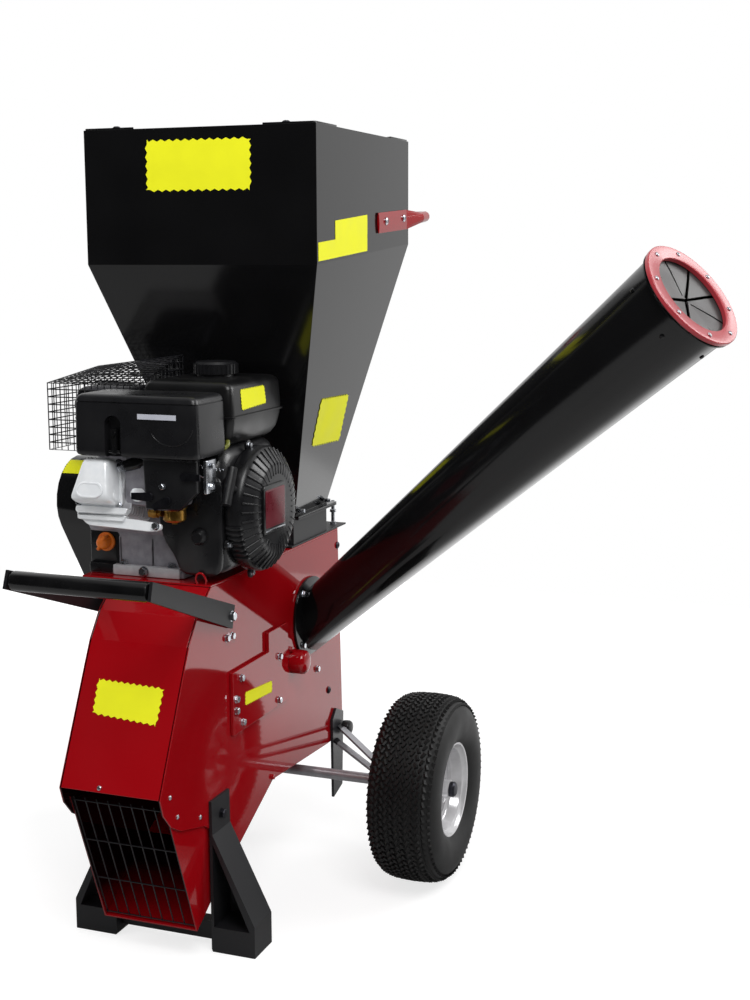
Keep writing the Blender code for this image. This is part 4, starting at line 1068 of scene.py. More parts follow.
# %% Grille
WIRE_R = 1.1 * MM
GRILLE_FOOT, GRILLE_HEAD = at(0, -0.053, 0.058), at(0, -0.141, 0.282)
GRILLE_HALF = 0.0790
UPRIGHTS = 9
rise = GRILLE_HEAD - GRILLE_FOOT
back = rise.cross(X).normalized() * -2 * WIRE_R
upright = barrel("upright", (0, 0, 0), (0, 0, rise.length), WIRE_R, sides=8)
spots = []
for k in range(UPRIGHTS):
    across = X * GRILLE_HALF * (2 * k / (UPRIGHTS - 1) - 1)
    spots.append(turned_to(GRILLE_FOOT + across, rise))
uprights = copied("uprights", upright, spots)
cross = barrel("cross", (0, 0, 0), (0, 0, 2 * GRILLE_HALF), WIRE_R, sides=8)
spots = []
for reach in (0.004, 0.078, 0.157, rise.length - 0.004):
    start = GRILLE_FOOT + rise.normalized() * reach + back - X * GRILLE_HALF
    spots.append(turned_to(start, X))
crossings = copied("crossings", cross, spots)
for spare in (upright, cross):
    bpy.data.objects.remove(spare)
grille = joined("discharge_grille_wires", uprights, crossings)
settle(grille, "machine", "black_paint", DARK_WIRE, "discharge_grille")

# %% [markdown]
# ## The muffler guard
#
# The guard is a cage of welded wire over the hot muffler. A box is cut into cells of 12 mm by
# planes along each axis, its underside is removed, and the Wireframe modifier turns every
# edge into a wire. It is quicker than placing a thousand wires, and they all meet. One rear
# corner is bent down a little, as on a cage that has been leant on.

# %% Wire cage
CAGE_FRONT, CAGE_REAR = 0.894, 0.932  # heights of its top
CAGE_SAG, CELL = 0.022, 0.0118
low, high = at(-0.212, 0.034, 0.7860), at(-0.050, 0.192, CAGE_REAR)
cage = block("muffler_cage", low, (high.x, high.y, CAGE_FRONT))


def rear_top(vert):
    """A test: the point is on the upper rear edge."""
    return vert.co.y > high.y - MM and vert.co.z > low.z + 0.05


edit(cage)
pick(lambda edge: all(rear_top(vert) for vert in edge.verts), "EDGE")
bpy.ops.transform.translate(value=(0, 0, CAGE_REAR - CAGE_FRONT))
pick(lambda vert: rear_top(vert) and vert.co.x < low.x + MM, "VERT")
bpy.ops.transform.translate(value=(0, 0, -CAGE_SAG))
pick(facing(-Z))
bpy.ops.mesh.delete(type="FACE")
for axis, normal in enumerate((X, Y, Z)):
    cells = round((high[axis] - low[axis]) / CELL)
    for k in range(1, cells):
        plane = low + normal * ((high[axis] - low[axis]) * k / cells)
        bpy.ops.mesh.select_all(action="SELECT")
        bpy.ops.mesh.bisect(plane_co=plane, plane_no=normal)
bpy.ops.object.mode_set(mode="OBJECT")
wires = cage.modifiers.new("wires", "WIREFRAME")
wires.thickness = 1.9 * MM
wires.offset = -1
bpy.ops.object.modifier_apply(modifier=wires.name)
settle(cage, "machine", "grey_wire", DARK_WIRE, "muffler_guard", smooth=60)

# %% [markdown]
# ## Pressed and cast covers
#
# Most of the engine's covers have the same nature: an outline with rounded corners that is
# drawn in or out as it rises. So one function rounds the corners of an outline, and another
# lays it at several depths, each a little larger or smaller than the one below.

# %% Helpers for outlines


def rectangle(low, high):
    """The corners of a rectangle between two corners."""
    return [(low[0], low[1]), (high[0], low[1]), (high[0], high[1]), (low[0], high[1])]


def soft_outline(corners, radius, steps=5):
    """A flat outline with its corners rounded."""
    points = []
    corners = [Vector(corner) for corner in corners]
    for before, corner, after in zip(corners[-1:] + corners[:-1], corners, corners[1:] + corners[:1]):
        reach = min(radius, (before - corner).length * 0.48, (after - corner).length * 0.48)
        start = corner + (before - corner).normalized() * reach
        end = corner + (after - corner).normalized() * reach
        for k in range(steps + 1):
            t = k / steps
            points.append(start * (1 - t) ** 2 + corner * 2 * t * (1 - t) + end * t * t)
    return points


print("a rounded corner takes 6 points")

# %% [markdown]
# The levels go out from the outline's plane. Most covers are drawn from above, from the front or
# from the machine's right, so each of those has a short name.

# %% Helpers for covers


def pressed(name, outline, levels, origin, across, up, out):
    """An outline laid at levels of (depth, draw-in) from an origin."""
    middle_a = sum((point.x for point in outline)) / len(outline)
    middle_b = sum((point.y for point in outline)) / len(outline)
    half_a = max(abs(point.x - middle_a) for point in outline)
    half_b = max(abs(point.y - middle_b) for point in outline)
    rings = []
    for depth, draw in levels:
        wide, tall = 1 - draw / half_a, 1 - draw / half_b
        rings.append(
            [
                origin
                + across * (middle_a + (point.x - middle_a) * wide)
                + up * (middle_b + (point.y - middle_b) * tall)
                + out * depth
                for point in outline
            ]
        )
    return skin(name, rings)


def from_above(name, outline, levels, z=0):
    """A cover drawn in X and Y, with its levels upwards."""
    return pressed(name, outline, levels, ORIGIN + Z * z, X, Y, Z)


def from_front(name, outline, levels, y):
    """A cover drawn in X and Z, with its levels towards the front."""
    return pressed(name, outline, levels, at(0, y, 0), X, Z, -Y)


def from_right(name, outline, levels):
    """A cover drawn in Y and Z, with its levels to the machine's right."""
    return pressed(name, outline, levels, ORIGIN, Y, Z, X)


print("covers are drawn round", [round(value, 4) for value in ORIGIN])

# %% [markdown]
# Hoses, springs and bent wires are round bars along a curve. A Bezier curve with automatic
# handles runs smoothly through its points, its bevel gives it thickness, and it is then turned
# into a mesh.

# %% Helper for wires


def wire_along(name, points, radius):
    """A smooth round wire through points, as a mesh."""
    curve = bpy.data.curves.new(name, "CURVE")
    curve.dimensions = "3D"
    curve.bevel_depth = radius
    curve.bevel_resolution = 3
    curve.use_fill_caps = True
    curve.resolution_u = 6
    spline = curve.splines.new("BEZIER")
    spline.bezier_points.add(len(points) - 1)
    for knot, point in zip(spline.bezier_points, points):
        knot.co = point
        knot.handle_left_type = knot.handle_right_type = "AUTO"
    piece = bpy.data.objects.new(name, curve)
    bpy.context.scene.collection.objects.link(piece)
    only(piece)
    bpy.ops.object.convert(target="MESH")
    return bpy.context.object


print("a wire is round, with its ends closed")

# %% [markdown]
# ## Muffler
#
# Inside the cage is the muffler: two pressed halves, folded over each other along a seam, with
# a short outlet pipe. Heat has dulled its black finish to a dark grey.

# %% Muffler
outline = soft_outline(rectangle((-0.184, 0.062), (-0.062, 0.163)), 0.022)
levels = [
    (0.7860, 0.010), (0.7900, 0.003), (0.8000, 0), (0.8330, 0), (0.8335, -0.0025),
    (0.8365, -0.0025), (0.8370, 0), (0.8700, 0), (0.8800, 0.003), (0.8845, 0.010),
]
shell = from_above("muffler_shell", outline, levels)
profile = [(0, 0), (0, 0.011), (0.020, 0.011), (0.020, 0.0095), (0.004, 0.0095), (0.004, 0)]
pipe = spun("pipe", profile, at(-0.184, 0.112, 0.852), -X, 24)
settle(joined("muffler_halves", shell, pipe), "machine", "tool_steel", DARK_STEEL, "muffler")

# %% [markdown]
# ## Fuel tank and cap
#
# The tank is blow-moulded in two halves, and the seam between them stands out as a thin rib
# all round.

# %% Tank
outline = soft_outline(rectangle((-0.042, 0.030), (0.116, 0.222)), 0.013, 6)
levels = [
    (0.8034, 0.022), (0.8090, 0.014), (0.8200, 0.007), (0.8400, 0.002), (0.8460, 0.0014),
    (0.8466, -0.0016), (0.8494, -0.0016), (0.8500, 0.0014), (0.8560, 0.0010), (0.8910, 0.0030),
    (0.8970, 0.0055), (0.9010, 0.0100), (0.9028, 0.0170), (0.9034, 0.0250),
]
tank = from_above("fuel_tank_shell", outline, levels)
settle(tank, "machine", "black_plastic", TANK_PLASTIC, "fuel_tank", smooth=40)

# %% [markdown]
# The cap stands on a short neck. It is one cylinder with sixty sides: its top is inset twice,
# which leaves a raised edge, and every second side is then inset and drawn out by itself.

# %% Fuel cap
RIBS = 60
cap_foot = Vector((middle("fuel_cap").x, middle("fuel_cap").y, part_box("fuel_cap")[0].z))
neck = spun("fuel_neck", [(0, 0), (0, 0.031), (0.006, 0.030), (0.006, 0)], cap_foot - Z * 2 * MM, Z, 36)
settle(neck, "machine", "black_plastic", SATIN_ABS)
cap = barrel("fuel_cap_ribbed", cap_foot + Z * 4 * MM, cap_foot + Z * 19.5 * MM, 0.0345, sides=RIBS)
edit(cap)
pick(facing(Z))
bpy.ops.mesh.inset(thickness=3 * MM, depth=3.5 * MM)
bpy.ops.mesh.inset(thickness=14 * MM, depth=0.8 * MM)


def every_second(face):
    """A test: the upright side faces, in turn, leaving out every other one."""
    if abs(face.normal.z) > 0.5 or face.calc_area() < 4e-5:
        return False
    way = face.calc_center_median() - cap_foot
    turn = math.atan2(way.y, way.x)
    return round((turn / (2 * math.pi) + 1) * RIBS - 0.5) % 2 == 0


pick(every_second)
bpy.ops.mesh.inset(thickness=0.3 * MM, depth=1.6 * MM, use_individual=True)
done()
settle(cap, "fuel_cap", "black_plastic", SATIN_ABS, "fuel_cap", smooth=30)

# %% [markdown]
# ## Air cleaner
#
# A two-part box: a lid over a base, with a groove where they meet. A tall arched pocket in its
# front leaves room for the fingers at the clip. The pocket is cut with a Boolean: a block for
# its legs and a barrel for its arch.

# %% Air cleaner box
outline = soft_outline(rectangle((-0.100, -0.072), (0.108, 0.028)), 0.011, 5)
levels = [
    (0.7950, 0.006), (0.7970, 0.0020), (0.8000, 0.0004), (0.8060, 0.0),
    (0.8740, 0.0010), (0.8760, 0.0012), (0.8764, 0.0026), (0.8778, 0.0026), (0.8782, 0.0014),
    (0.8830, 0.0026), (0.8862, 0.0048), (0.8882, 0.0080), (0.8889, 0.0120),
]
airbox = from_above("air_cleaner_box", outline, levels)
POCKET = at(-0.0325, 0, 0)
ARCH_R, ARCH_Z = 0.0135, 0.8445
before, behind = Vector((0, -0.080, 0)), Vector((0, -0.058, 0))
low, high = POCKET + before + Z * 0.780 - X * ARCH_R, POCKET + behind + Z * ARCH_Z + X * ARCH_R
carve(airbox, block("legs", low, high))
arch = POCKET + Z * ARCH_Z
carve(airbox, barrel("arch", arch + before, arch + behind, ARCH_R, sides=32))
settle(airbox, "machine", "black_plastic", SATIN_ABS, "air_cleaner", smooth=32)

# %% [markdown]
# In the pocket sits the clip: a strap on a pin, with a round nose to pull it by. Beside it an
# arc is embossed in the lid, which stiffens its flat front.

# %% Clip and embossed arc
strap = block("clip", POCKET + Vector((-0.005, -0.069, 0.799)), POCKET + Vector((0.005, -0.060, 0.838)))
pin_foot, pin_end = POCKET + Vector((-0.010, -0.066, 0.803)), POCKET + Vector((0.010, -0.066, 0.803))
nose_tip, nose_root = POCKET + Vector((0, -0.0705, 0.830)), POCKET + Vector((0, -0.060, 0.830))
pin, nose = barrel("pin", pin_foot, pin_end, 2.5 * MM), barrel("nose", nose_tip, nose_root, 4 * MM)
clip = joined("air_cleaner_clip", rounded(strap, 2 * MM), pin, nose)
settle(clip, "machine", "black_plastic", GRIP_RUBBER)
arc = []
for k in range(13):
    a = math.radians(190 + 160 * k / 12)
    arc.append(at(0.066 + 0.036 * math.cos(a), -0.0718, 0.846 + 0.030 * math.sin(a)))
emboss = wire_along("air_cleaner_emboss", arc, 0.9 * MM)
settle(emboss, "machine", "black_plastic", SATIN_ABS, smooth=60)

# %% [markdown]
# ## Crankcase
#
# The crankcase stays as the CAD has it, in dark cast aluminium. Its foot is machined, so a
# bright pad is added in front, with the bolts that hold the engine on the deck. Two cast ribs
# and a web with a slanted side break up the flat front, and a black cover closes its left end.

# %% Crankcase, foot and ribs
CASE_FRONT = 0.0400
dress(CAST_DARK, "crankcase", radius=3 * MM)
pad = rounded(block("crankcase_foot", at(-0.097, 0.0262, 0.5916), at(0.0215, 0.0460, 0.6080)), 1.5 * MM)
settle(pad, "machine", "cast_aluminium", CAST_LIGHT)
fasten("crankcase_bolts", M8, "machine", [
    (at(-0.041, 0.0262, 0.6000), -Y), (at(-0.082, 0.038, 0.6080), Z), (at(0.004, 0.038, 0.6080), Z),
])
ribs = []
for x in (-0.088, -0.030):
    rib = block("rib", at(x - 0.003, 0.0365, 0.605), at(x + 0.003, 0.0405, 0.652))
    ribs.append(rounded(rib, 1.2 * MM))
web = [(-0.090, 0.606), (0.018, 0.606), (0.026, 0.640), (0.012, 0.668), (-0.090, 0.668)]
levels = [(0, 0), (0.0025, 0), (0.0035, 0.0015)]
front = from_front("front", soft_outline(web, 0.010), levels, CASE_FRONT)
settle(joined("crankcase_front", front, *ribs), "machine", "cast_aluminium", CAST_DARK)
outline = soft_outline(rectangle((-0.1425, 0.600), (-0.0915, 0.672)), 0.008)
cover = from_front("cover", outline, [(0, 0), (0.0030, 0), (0.0042, 0.0015)], CASE_FRONT)
step = rounded(block("step", at(-0.1420, 0.0290, 0.5925), at(-0.0990, 0.0400, 0.6080)), 2.5 * MM, 3)
settle(joined("crankcase_end_cover", cover, step), "machine", "black_plastic", SATIN_ABS)

# %% [markdown]
# The oil plug is orange, so that it is found. Its body is turned and its two wings are one
# block, set askew, as a plug stops when it is tight.

# %% Oil plug
plug_foot = Vector((middle("oil_plug").x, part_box("oil_plug")[1].y, middle("oil_plug").z))
profile = [
    (0, 0), (0, 0.010), (0.005, 0.010), (0.006, 0.0150), (0.009, 0.0155), (0.0105, 0.0148),
    (0.011, 0.011), (0.020, 0.0105), (0.024, 0.009), (0.0265, 0.005), (0.027, 0),
]
plug = spun("oil_plug_body", profile, plug_foot, -Y, 32)
ear = rounded(block("ear", (-0.0135, -0.0028, 0.010), (0.0135, 0.0028, 0.0262)), 2 * MM, 3)
ears = copied("ears", ear, [turned_to(plug_foot, -Y, math.radians(60))])
bpy.data.objects.remove(ear)
plug = joined("oil_plug_winged", plug, ears)
settle(plug, "oil_plug", "orange_plastic", ORANGE_PLASTIC, "oil_plug", smooth=40)

# %% [markdown]
# ## Cylinder head and rocker cover
#
# The cylinder leans forward and up. Cooling fins are thin plates square to it, so one fin is
# made and copied along the cylinder.

# %% Cylinder and fins
TILT = math.radians(18)
CYLINDER = Vector((0, -math.cos(TILT), math.sin(TILT)))
ACROSS = Vector((0, math.sin(TILT), math.cos(TILT)))
CRANK = at(0, 0.118, 0.697)
HEAD = CRANK + X * -0.068
FINS, FIN_PITCH = 9, 0.0078


def on_head(name, outline, levels, foot=HEAD):
    """A cover drawn square to the cylinder, with its levels along it."""
    return pressed(name, outline, levels, foot, X, ACROSS, CYLINDER)


core_outline = soft_outline(rectangle((-0.034, -0.034), (0.034, 0.034)), 0.014)
core = on_head("cylinder_core", core_outline, [(0.087, 0), (0.1652, 0)])
fin_outline = soft_outline(rectangle((-0.0450, -0.0440), (0.0450, 0.0400)), 0.010)
fin_levels = [(0, 0.0006), (0.0006, 0), (0.0018, 0), (0.0024, 0.0006)]
fin = on_head("fin", fin_outline, fin_levels, Vector((0, 0, 0)))
places = [Matrix.Translation(HEAD + CYLINDER * (0.090 + FIN_PITCH * k)) for k in range(FINS)]
fins = copied("fins", fin, places)
bpy.data.objects.remove(fin)
settle(joined("cylinder_fins", core, fins), "machine", "cast_aluminium", CAST_LIGHT, "cylinder_head")

# %% [markdown]
# The rocker cover in front is lacquered silver: a trapezium with soft corners, drawn in towards
# its face. In its middle is a raised cartouche, which is left bare.

# %% Rocker cover
trapezium = [(-0.0410, -0.0340), (0.0350, -0.0340), (0.0215, 0.0370), (-0.0245, 0.0370)]
levels = [
    (0.1655, -0.0030), (0.1690, -0.0030), (0.1698, 0.0), (0.1860, 0.0010), (0.1960, 0.0025),
    (0.2005, 0.0060), (0.2030, 0.0105),
]
cover = on_head("rocker_cover_shell", soft_outline(trapezium, 0.011, 7), levels)
settle(cover, "machine", "bright_steel", LACQUERED, "rocker_cover", smooth=50)
cartouche = [
    (-0.0290, -0.0100), (-0.0190, -0.0200), (0.0130, -0.0200), (0.0230, -0.0100),
    (0.0140, 0.0050), (-0.0200, 0.0050),
]
levels = [
    (0.2015, 0), (0.2042, 0.0004), (0.2046, 0.0014), (0.2046, 0.0030), (0.2036, 0.0036),
    (0.2036, 0.0050),
]
outline = soft_outline(cartouche, 0.007, 5)
plate = on_head("rocker_cover_cartouche", outline, levels, HEAD - ACROSS * 0.008)
settle(plate, "machine", "bright_steel", LACQUERED, smooth=50)
spots = []
for x, up in ((-0.0375, -0.0315), (0.0320, -0.0315), (0.0225, 0.0345), (-0.0255, 0.0345)):
    spots.append((HEAD + X * x + ACROSS * up + CYLINDER * 0.1692, CYLINDER))
fasten("rocker_cover_bolts", M5, "machine", spots)

# %% [markdown]
# Under the rocker cover are the bright stepped joints of the head and a long flange, which
# reaches to the carburettor's side.

# %% Joints and flange
STEPS = [
    (-0.040, 0.050, -0.036, 0.1735), (-0.039, 0.044, -0.0410, 0.1690),
    (-0.038, 0.046, -0.0460, 0.1690),
]
gaskets = []
for left, right, up, reach in STEPS:
    corners = [(left, up - 0.010), (right - 0.004, up - 0.010), (right, up), (left - 0.001, up)]
    levels = [(reach - 0.012, 0), (reach - 0.0008, 0), (reach, 0.0008)]
    gaskets.append(on_head("step", soft_outline(corners, 0.004, 3), levels))
settle(joined("cylinder_head_steps", *gaskets), "machine", "bright_steel", LACQUERED)
FLANGE_TOP = 0.1638
corners = [
    (-0.036, -0.052), (-0.022, -0.064), (0.088, -0.068), (0.104, -0.064), (0.104, -0.055),
    (0.062, -0.051), (0.034, -0.050),
]
levels = [(0.1560, 0.0008), (0.1568, 0), (0.1630, 0), (FLANGE_TOP, 0.0008)]
flange = on_head("head_flange", soft_outline(corners, 0.008), levels)
settle(flange, "machine", "bright_steel", LACQUERED)
nut = CRANK + X * 0.028 - ACROSS * 0.0595 + CYLINDER * FLANGE_TOP
fasten("head_flange_nut", M6, "machine", [(nut, CYLINDER)])

# %% [markdown]
# Beside the head are the inlet and the spark plug with its cap and lead. The lead is ignition
# cable, 7 mm thick, and it ends in the shroud, where the coil is, so it is part of the engine
# and no free cord.

# %% Inlet, spark plug and lead
profile = [
    (0, 0), (0, 0.0165), (0.004, 0.0165), (0.006, 0.0135), (0.020, 0.0130), (0.022, 0.0100),
    (0.022, 0),
]
boss_foot = CRANK + X * -0.012 + CYLINDER * 0.140 + ACROSS * -0.010
boss = spun("inlet_boss", profile, boss_foot, CYLINDER, 32)
settle(boss, "machine", "bright_steel", LACQUERED)
inlet = rounded(block("inlet_neck", at(-0.034, -0.030, 0.716), at(-0.010, 0.010, 0.760)), 4 * MM, 3)
settle(inlet, "machine", "cast_aluminium", CAST_LIGHT)
plug_end, plug_way = at(-0.030, -0.040, 0.778), Vector((0.85, 0.1, 0.25))
profile = [
    (0, 0), (0, 0.0085), (0.010, 0.0095), (0.022, 0.0095), (0.026, 0.0070), (0.034, 0.0055),
    (0.034, 0),
]
boot = spun("spark_plug_boot", profile, plug_end, plug_way, 20)
settle(boot, "machine", "rubber", GRIP_RUBBER)
profile = [(0, 0), (0, 0.0070), (0.008, 0.0070), (0.008, 0.0090), (0.013, 0.0090), (0.013, 0)]
shell = spun("spark_plug_shell", profile, plug_end - plug_way.normalized() * 0.012, plug_way, 6)
settle(shell, "machine", "bright_steel", ZINC)
lead = wire_along("spark_plug_lead", [
    at(-0.002, -0.036, 0.788), at(0.012, -0.028, 0.790), at(0.024, -0.004, 0.780),
    at(0.034, 0.012, 0.772),
], 3.5 * MM)
settle(lead, "machine", "rubber", GRIP_RUBBER, smooth=60)

# %% [markdown]
# ## Carburettor
#
# A small die casting with a brass float bowl under it. The bowl is spun from a profile, with
# its drain screw at the bottom, and a brass elbow takes the fuel hose.

# %% Carburettor
outline = soft_outline(rectangle((-0.0360, 0.7160), (0.0600, 0.7940)), 0.010)
casting = from_front("carburettor_casting", outline, [(0, 0), (0.036, 0), (0.041, 0.003)], 0.004)
settle(casting, "machine", "cast_aluminium", CAST_DARK, "carburettor")
profile = [
    (0, 0), (0, 0.0150), (0.003, 0.0178), (0.018, 0.0178), (0.020, 0.0195), (0.024, 0.0195),
    (0.024, 0),
]
bowl = spun("carburettor_bowl", profile, at(0.040, -0.018, 0.6935), Z, 36)
profile = [(0, 0), (0, 0.0048), (0.0045, 0.0048), (0.0045, 0)]
drain = spun("drain", profile, at(0.040, -0.018, 0.6892), Z, 6)
elbow = wire_along("elbow", [
    at(0.012, -0.030, 0.700), at(0.012, -0.032, 0.712), at(0.018, -0.032, 0.722),
    at(0.030, -0.030, 0.724),
], 4 * MM)
profile = [(0, 0), (0, 0.0075), (0.014, 0.0075), (0.014, 0.0050), (0.020, 0.0050), (0.020, 0)]
tap = spun("tap", profile, at(0.004, -0.030, 0.706), X, 6)
settle(joined("carburettor_brass", bowl, drain, elbow, tap), "machine", "bright_steel", BRASS, smooth=40)

# %% [markdown]
# The throttle linkage is thin plated rod and a fine spring. The spring is a helix: a wire
# through points that go round while they move along.

# %% Throttle linkage
SPRING_TURNS, SPRING_R = 11, 2.6 * MM
start, run = at(0.066, -0.036, 0.786), Vector((0.046, 0.040, -0.014))
side_a = run.cross(Z).normalized()
side_b = run.cross(side_a).normalized()
points = []
for k in range(SPRING_TURNS * 8 + 1):
    axis_point = start + run * k / (SPRING_TURNS * 8)
    points.append(on_circle(axis_point, side_a, side_b, SPRING_R, 45 * k)[0])
spring = wire_along("spring", points, 0.6 * MM)
link = wire_along("link", [
    at(0.070, -0.040, 0.768), at(0.086, -0.034, 0.770), at(0.100, -0.020, 0.760),
    at(0.106, 0.006, 0.752),
], 1.1 * MM)
stay = rounded(block("stay", at(0.1035, -0.044, 0.742), at(0.1085, -0.012, 0.792)), 0.8 * MM)
settle(joined("throttle_linkage", spring, link, stay), "machine", "bright_steel", ZINC, smooth=50)
fasten("throttle_screws", M5, "machine", [
    (at(0.1095, -0.030, 0.783), X), (at(0.1085, -0.030, 0.752), X),
    (at(0.0420, -0.058, 0.7525), -Y),
])
hose = wire_along("fuel_hose", [
    at(0.100, 0.046, 0.812), at(0.103, 0.040, 0.806), at(0.098, 0.030, 0.800),
], 3.5 * MM)
settle(hose, "machine", "rubber", HOSE_GREEN, smooth=60)

# %% [markdown]
# ## Control panel
#
# The panel is one moulding that hangs from the air cleaner: a lip leans out to meet the box,
# and the front below it is flat, where the levers turn. It is a skin through level rings.

# %% Control panel
PANEL_FRONT = (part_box("control_panel")[0] - DATUM).y
PANEL_BACK = (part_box("control_panel")[1] - DATUM).y
rings = []
for z, left, right, front in (
    (0.7162, 0.0150, 0.0680, PANEL_FRONT + 0.0020),
    (0.7185, 0.0120, 0.0715, PANEL_FRONT),
    (0.7450, 0.0105, 0.0990, PANEL_FRONT),
    (0.7908, 0.0090, 0.1000, PANEL_FRONT),
    (0.7947, 0.0085, 0.1010, -0.0660),
):
    outline = soft_outline(rectangle((left, front), (right, PANEL_BACK)), 0.004, 3)
    rings.append([at(point.x, point.y, z) for point in outline])
settle(skin("control_panel_moulding", rings), "machine", "black_plastic", SATIN_ABS, "control_panel")

# %% [markdown]
# ## Fan shroud and recoil starter
#
# Air is drawn in through the starter's cover by the flywheel and blown over the cylinder by
# the shroud. The shroud is a deep moulding with a swept cowl in front. The starter's cover is
# spun, and carries bars like the spokes of a wheel, which let air in and keep fingers out.

# %% Shroud and cowl
corners = [
    (0.026, 0.603), (0.210, 0.603), (0.226, 0.633), (0.226, 0.773), (0.205, 0.803),
    (0.035, 0.803), (0.010, 0.773), (0.010, 0.633),
]
levels = [
    (0.0285, 0), (0.0800, 0), (0.0900, 0.0015), (0.0980, 0.0055), (0.1035, 0.0120),
    (0.1058, 0.0190),
]
shroud = from_right("fan_shroud_shell", soft_outline(corners, 0.024, 4), levels)
settle(shroud, "machine", "black_plastic", SATIN_ABS, "fan_shroud", smooth=45)
corners = [
    (-0.006, 0.690), (0.004, 0.654), (0.022, 0.632), (0.032, 0.604), (0.098, 0.604),
    (0.104, 0.640), (0.104, 0.760), (0.060, 0.772), (0.006, 0.730),
]
levels = [(-0.012, 0), (-0.006, 0), (-0.003, 0.002), (-0.001, 0.006)]
cowl = from_front("fan_shroud_cowl", soft_outline(corners, 0.030, 6), levels, 0.0085)
settle(cowl, "machine", "black_plastic", SATIN_ABS, smooth=45)

# %% [markdown]
# The starter's shell is one turned profile. Forty bars are one bar copied round, and the slats
# in front are blocks whose front edges follow the rim.

# %% Recoil starter
HUB = Vector((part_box("recoil_housing")[0].x, CRANK.y, CRANK.z))
RIM_R, BARS, SLATS = 0.1005, 40, 7
profile = [
    (0, 0), (0, 0.0975), (0.003, 0.1000), (0.0200, 0.1000), (0.0250, 0.0975), (0.0290, 0.0925),
    (0.0380, 0.0800), (0.0420, 0.0740), (0.0436, 0.0680), (0.0440, 0.0600), (0.0440, 0),
]
housing = spun("recoil_housing_shell", profile, HUB, X, 72)
settle(housing, "machine", "black_plastic", SATIN_ABS, "recoil_housing", smooth=40)
bar = barrel("bar", (0.0270, 0, 0.0965), (0.0425, 0, 0.0735), 1.9 * MM, 1.5 * MM, 10)
nose = barrel("nose", (0.0425, 0, 0.0735), (0.0440, 0, 0.0560), 1.5 * MM, 1.2 * MM, 10)
spoke = joined("spoke", bar, nose)
turns = [Matrix.Rotation(2 * math.pi * (k + 0.5) / BARS, 4, "X") for k in range(BARS)]
spokes = copied("recoil_housing_spokes", spoke, [Matrix.Translation(HUB) @ turn for turn in turns])
bpy.data.objects.remove(spoke)
settle(spokes, "machine", "black_plastic", SATIN_ABS, smooth=50)
slats = []
for k in range(SLATS):
    z = 0.628 + 0.0085 * k
    reach = math.sqrt(RIM_R**2 - (z - CRANK.z) ** 2)
    low = Vector((ORIGIN.x + 0.1080, CRANK.y - reach - 0.0026, z))
    slats.append(rounded(block("slat", low, low + Vector((0.026, 0.014, 0.0046))), 1 * MM))
settle(joined("recoil_housing_slats", *slats), "machine", "black_plastic", SATIN_ABS)

# %% [markdown]
# On the face of the starter is a frame with a dark red plate in it, which is left bare. A
# thin bright line closes it below. Six bolts, each on a small lug, hold the cover on the shroud.

# %% Starter plate and bolts
outline = soft_outline(rectangle((0.0590, 0.6640), (0.1430, 0.7400)), 0.008)
bezel = from_right("starter_bezel", outline, [(0.1495, 0), (0.1530, 0), (0.1540, 0.0012)])
settle(bezel, "machine", "black_plastic", TANK_PLASTIC)
outline = soft_outline(rectangle((0.0650, 0.6735), (0.1370, 0.7335)), 0.004)
red = from_right("starter_plate", outline, [(0.1535, 0), (0.1545, 0), (0.1547, 0.0006)])
settle(red, "machine", "black_plastic", PANEL_RED)
bright = rounded(block("starter_trim", at(0.1535, 0.0650, 0.6682), at(0.1548, 0.1370, 0.6704)), 0.4 * MM)
settle(bright, "machine", "bright_steel", ZINC)
spots, lugs = [], []
for degrees in (38, 100, 150, 205, 262, 318):
    point = on_circle(HUB + X * 0.0040, Y, Z, 0.1035, degrees)[0]
    spots.append((point, X))
    lugs.append(barrel("lug", point - X * 0.0042, point, 8.5 * MM))
settle(joined("recoil_housing_lugs", *lugs), "machine", "black_plastic", SATIN_ABS)
fasten("recoil_housing_bolts", M5, "machine", spots)

# %% [markdown]
# ## Red bearing cap
#
# The rotor's bearing is closed by a domed cap, pressed from sheet and enamelled with the body.

# %% Bearing cap
profile = [
    (0, 0), (0, 0.0213), (0.0180, 0.0213), (0.0230, 0.0203), (0.0268, 0.0170), (0.0288, 0.0110),
    (0.0296, 0.0050), (0.0298, 0),
]
bearing = middle("bearing_right")
foot = Vector((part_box("bearing_right")[0].x, bearing.y, bearing.z))
cap = spun("bearing_right_cap", profile, foot, X, 48)
settle(cap, "machine", "red_paint", RED_ENAMEL, "bearing_right", smooth=40)

# %% [markdown]
# ## Tow bar grip
#
# A rubber sleeve over the cross tube, with a domed cap at each end. The bar turns on a bolt at
# each side, and the bolts ride with it.

# %% Grip
low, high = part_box("tow_grip")
grip_centre = middle("tow_grip")
length = high.x - low.x
profile = [(0, 0), (0, 0.0105), (0.0015, 0.0132), (0.005, 0.0145), (length / 2, 0.0142)]
profile += [(length - x, r) for x, r in profile[::-1][1:]]
grip = spun("tow_grip_sleeve", profile, (low.x, grip_centre.y, grip_centre.z), X, 48)
settle(grip, "tow_bar", "rubber", GRIP_RUBBER, "tow_grip", smooth=40)
PIVOT, ARM_FACE = at(0, 0.0645, 0.530), X * 0.0922
fasten("tow_bar_pivot_bolts", M8, "tow_bar", [(PIVOT + ARM_FACE, X), (PIVOT - ARM_FACE, -X)])

# %% [markdown]
# ## Bolts on the sheets
#
# Each group of bolts rides with the sheet it holds. The places are those of the real pattern:
# six round the access door, a pair under the tow bar, and single ones at the corners.

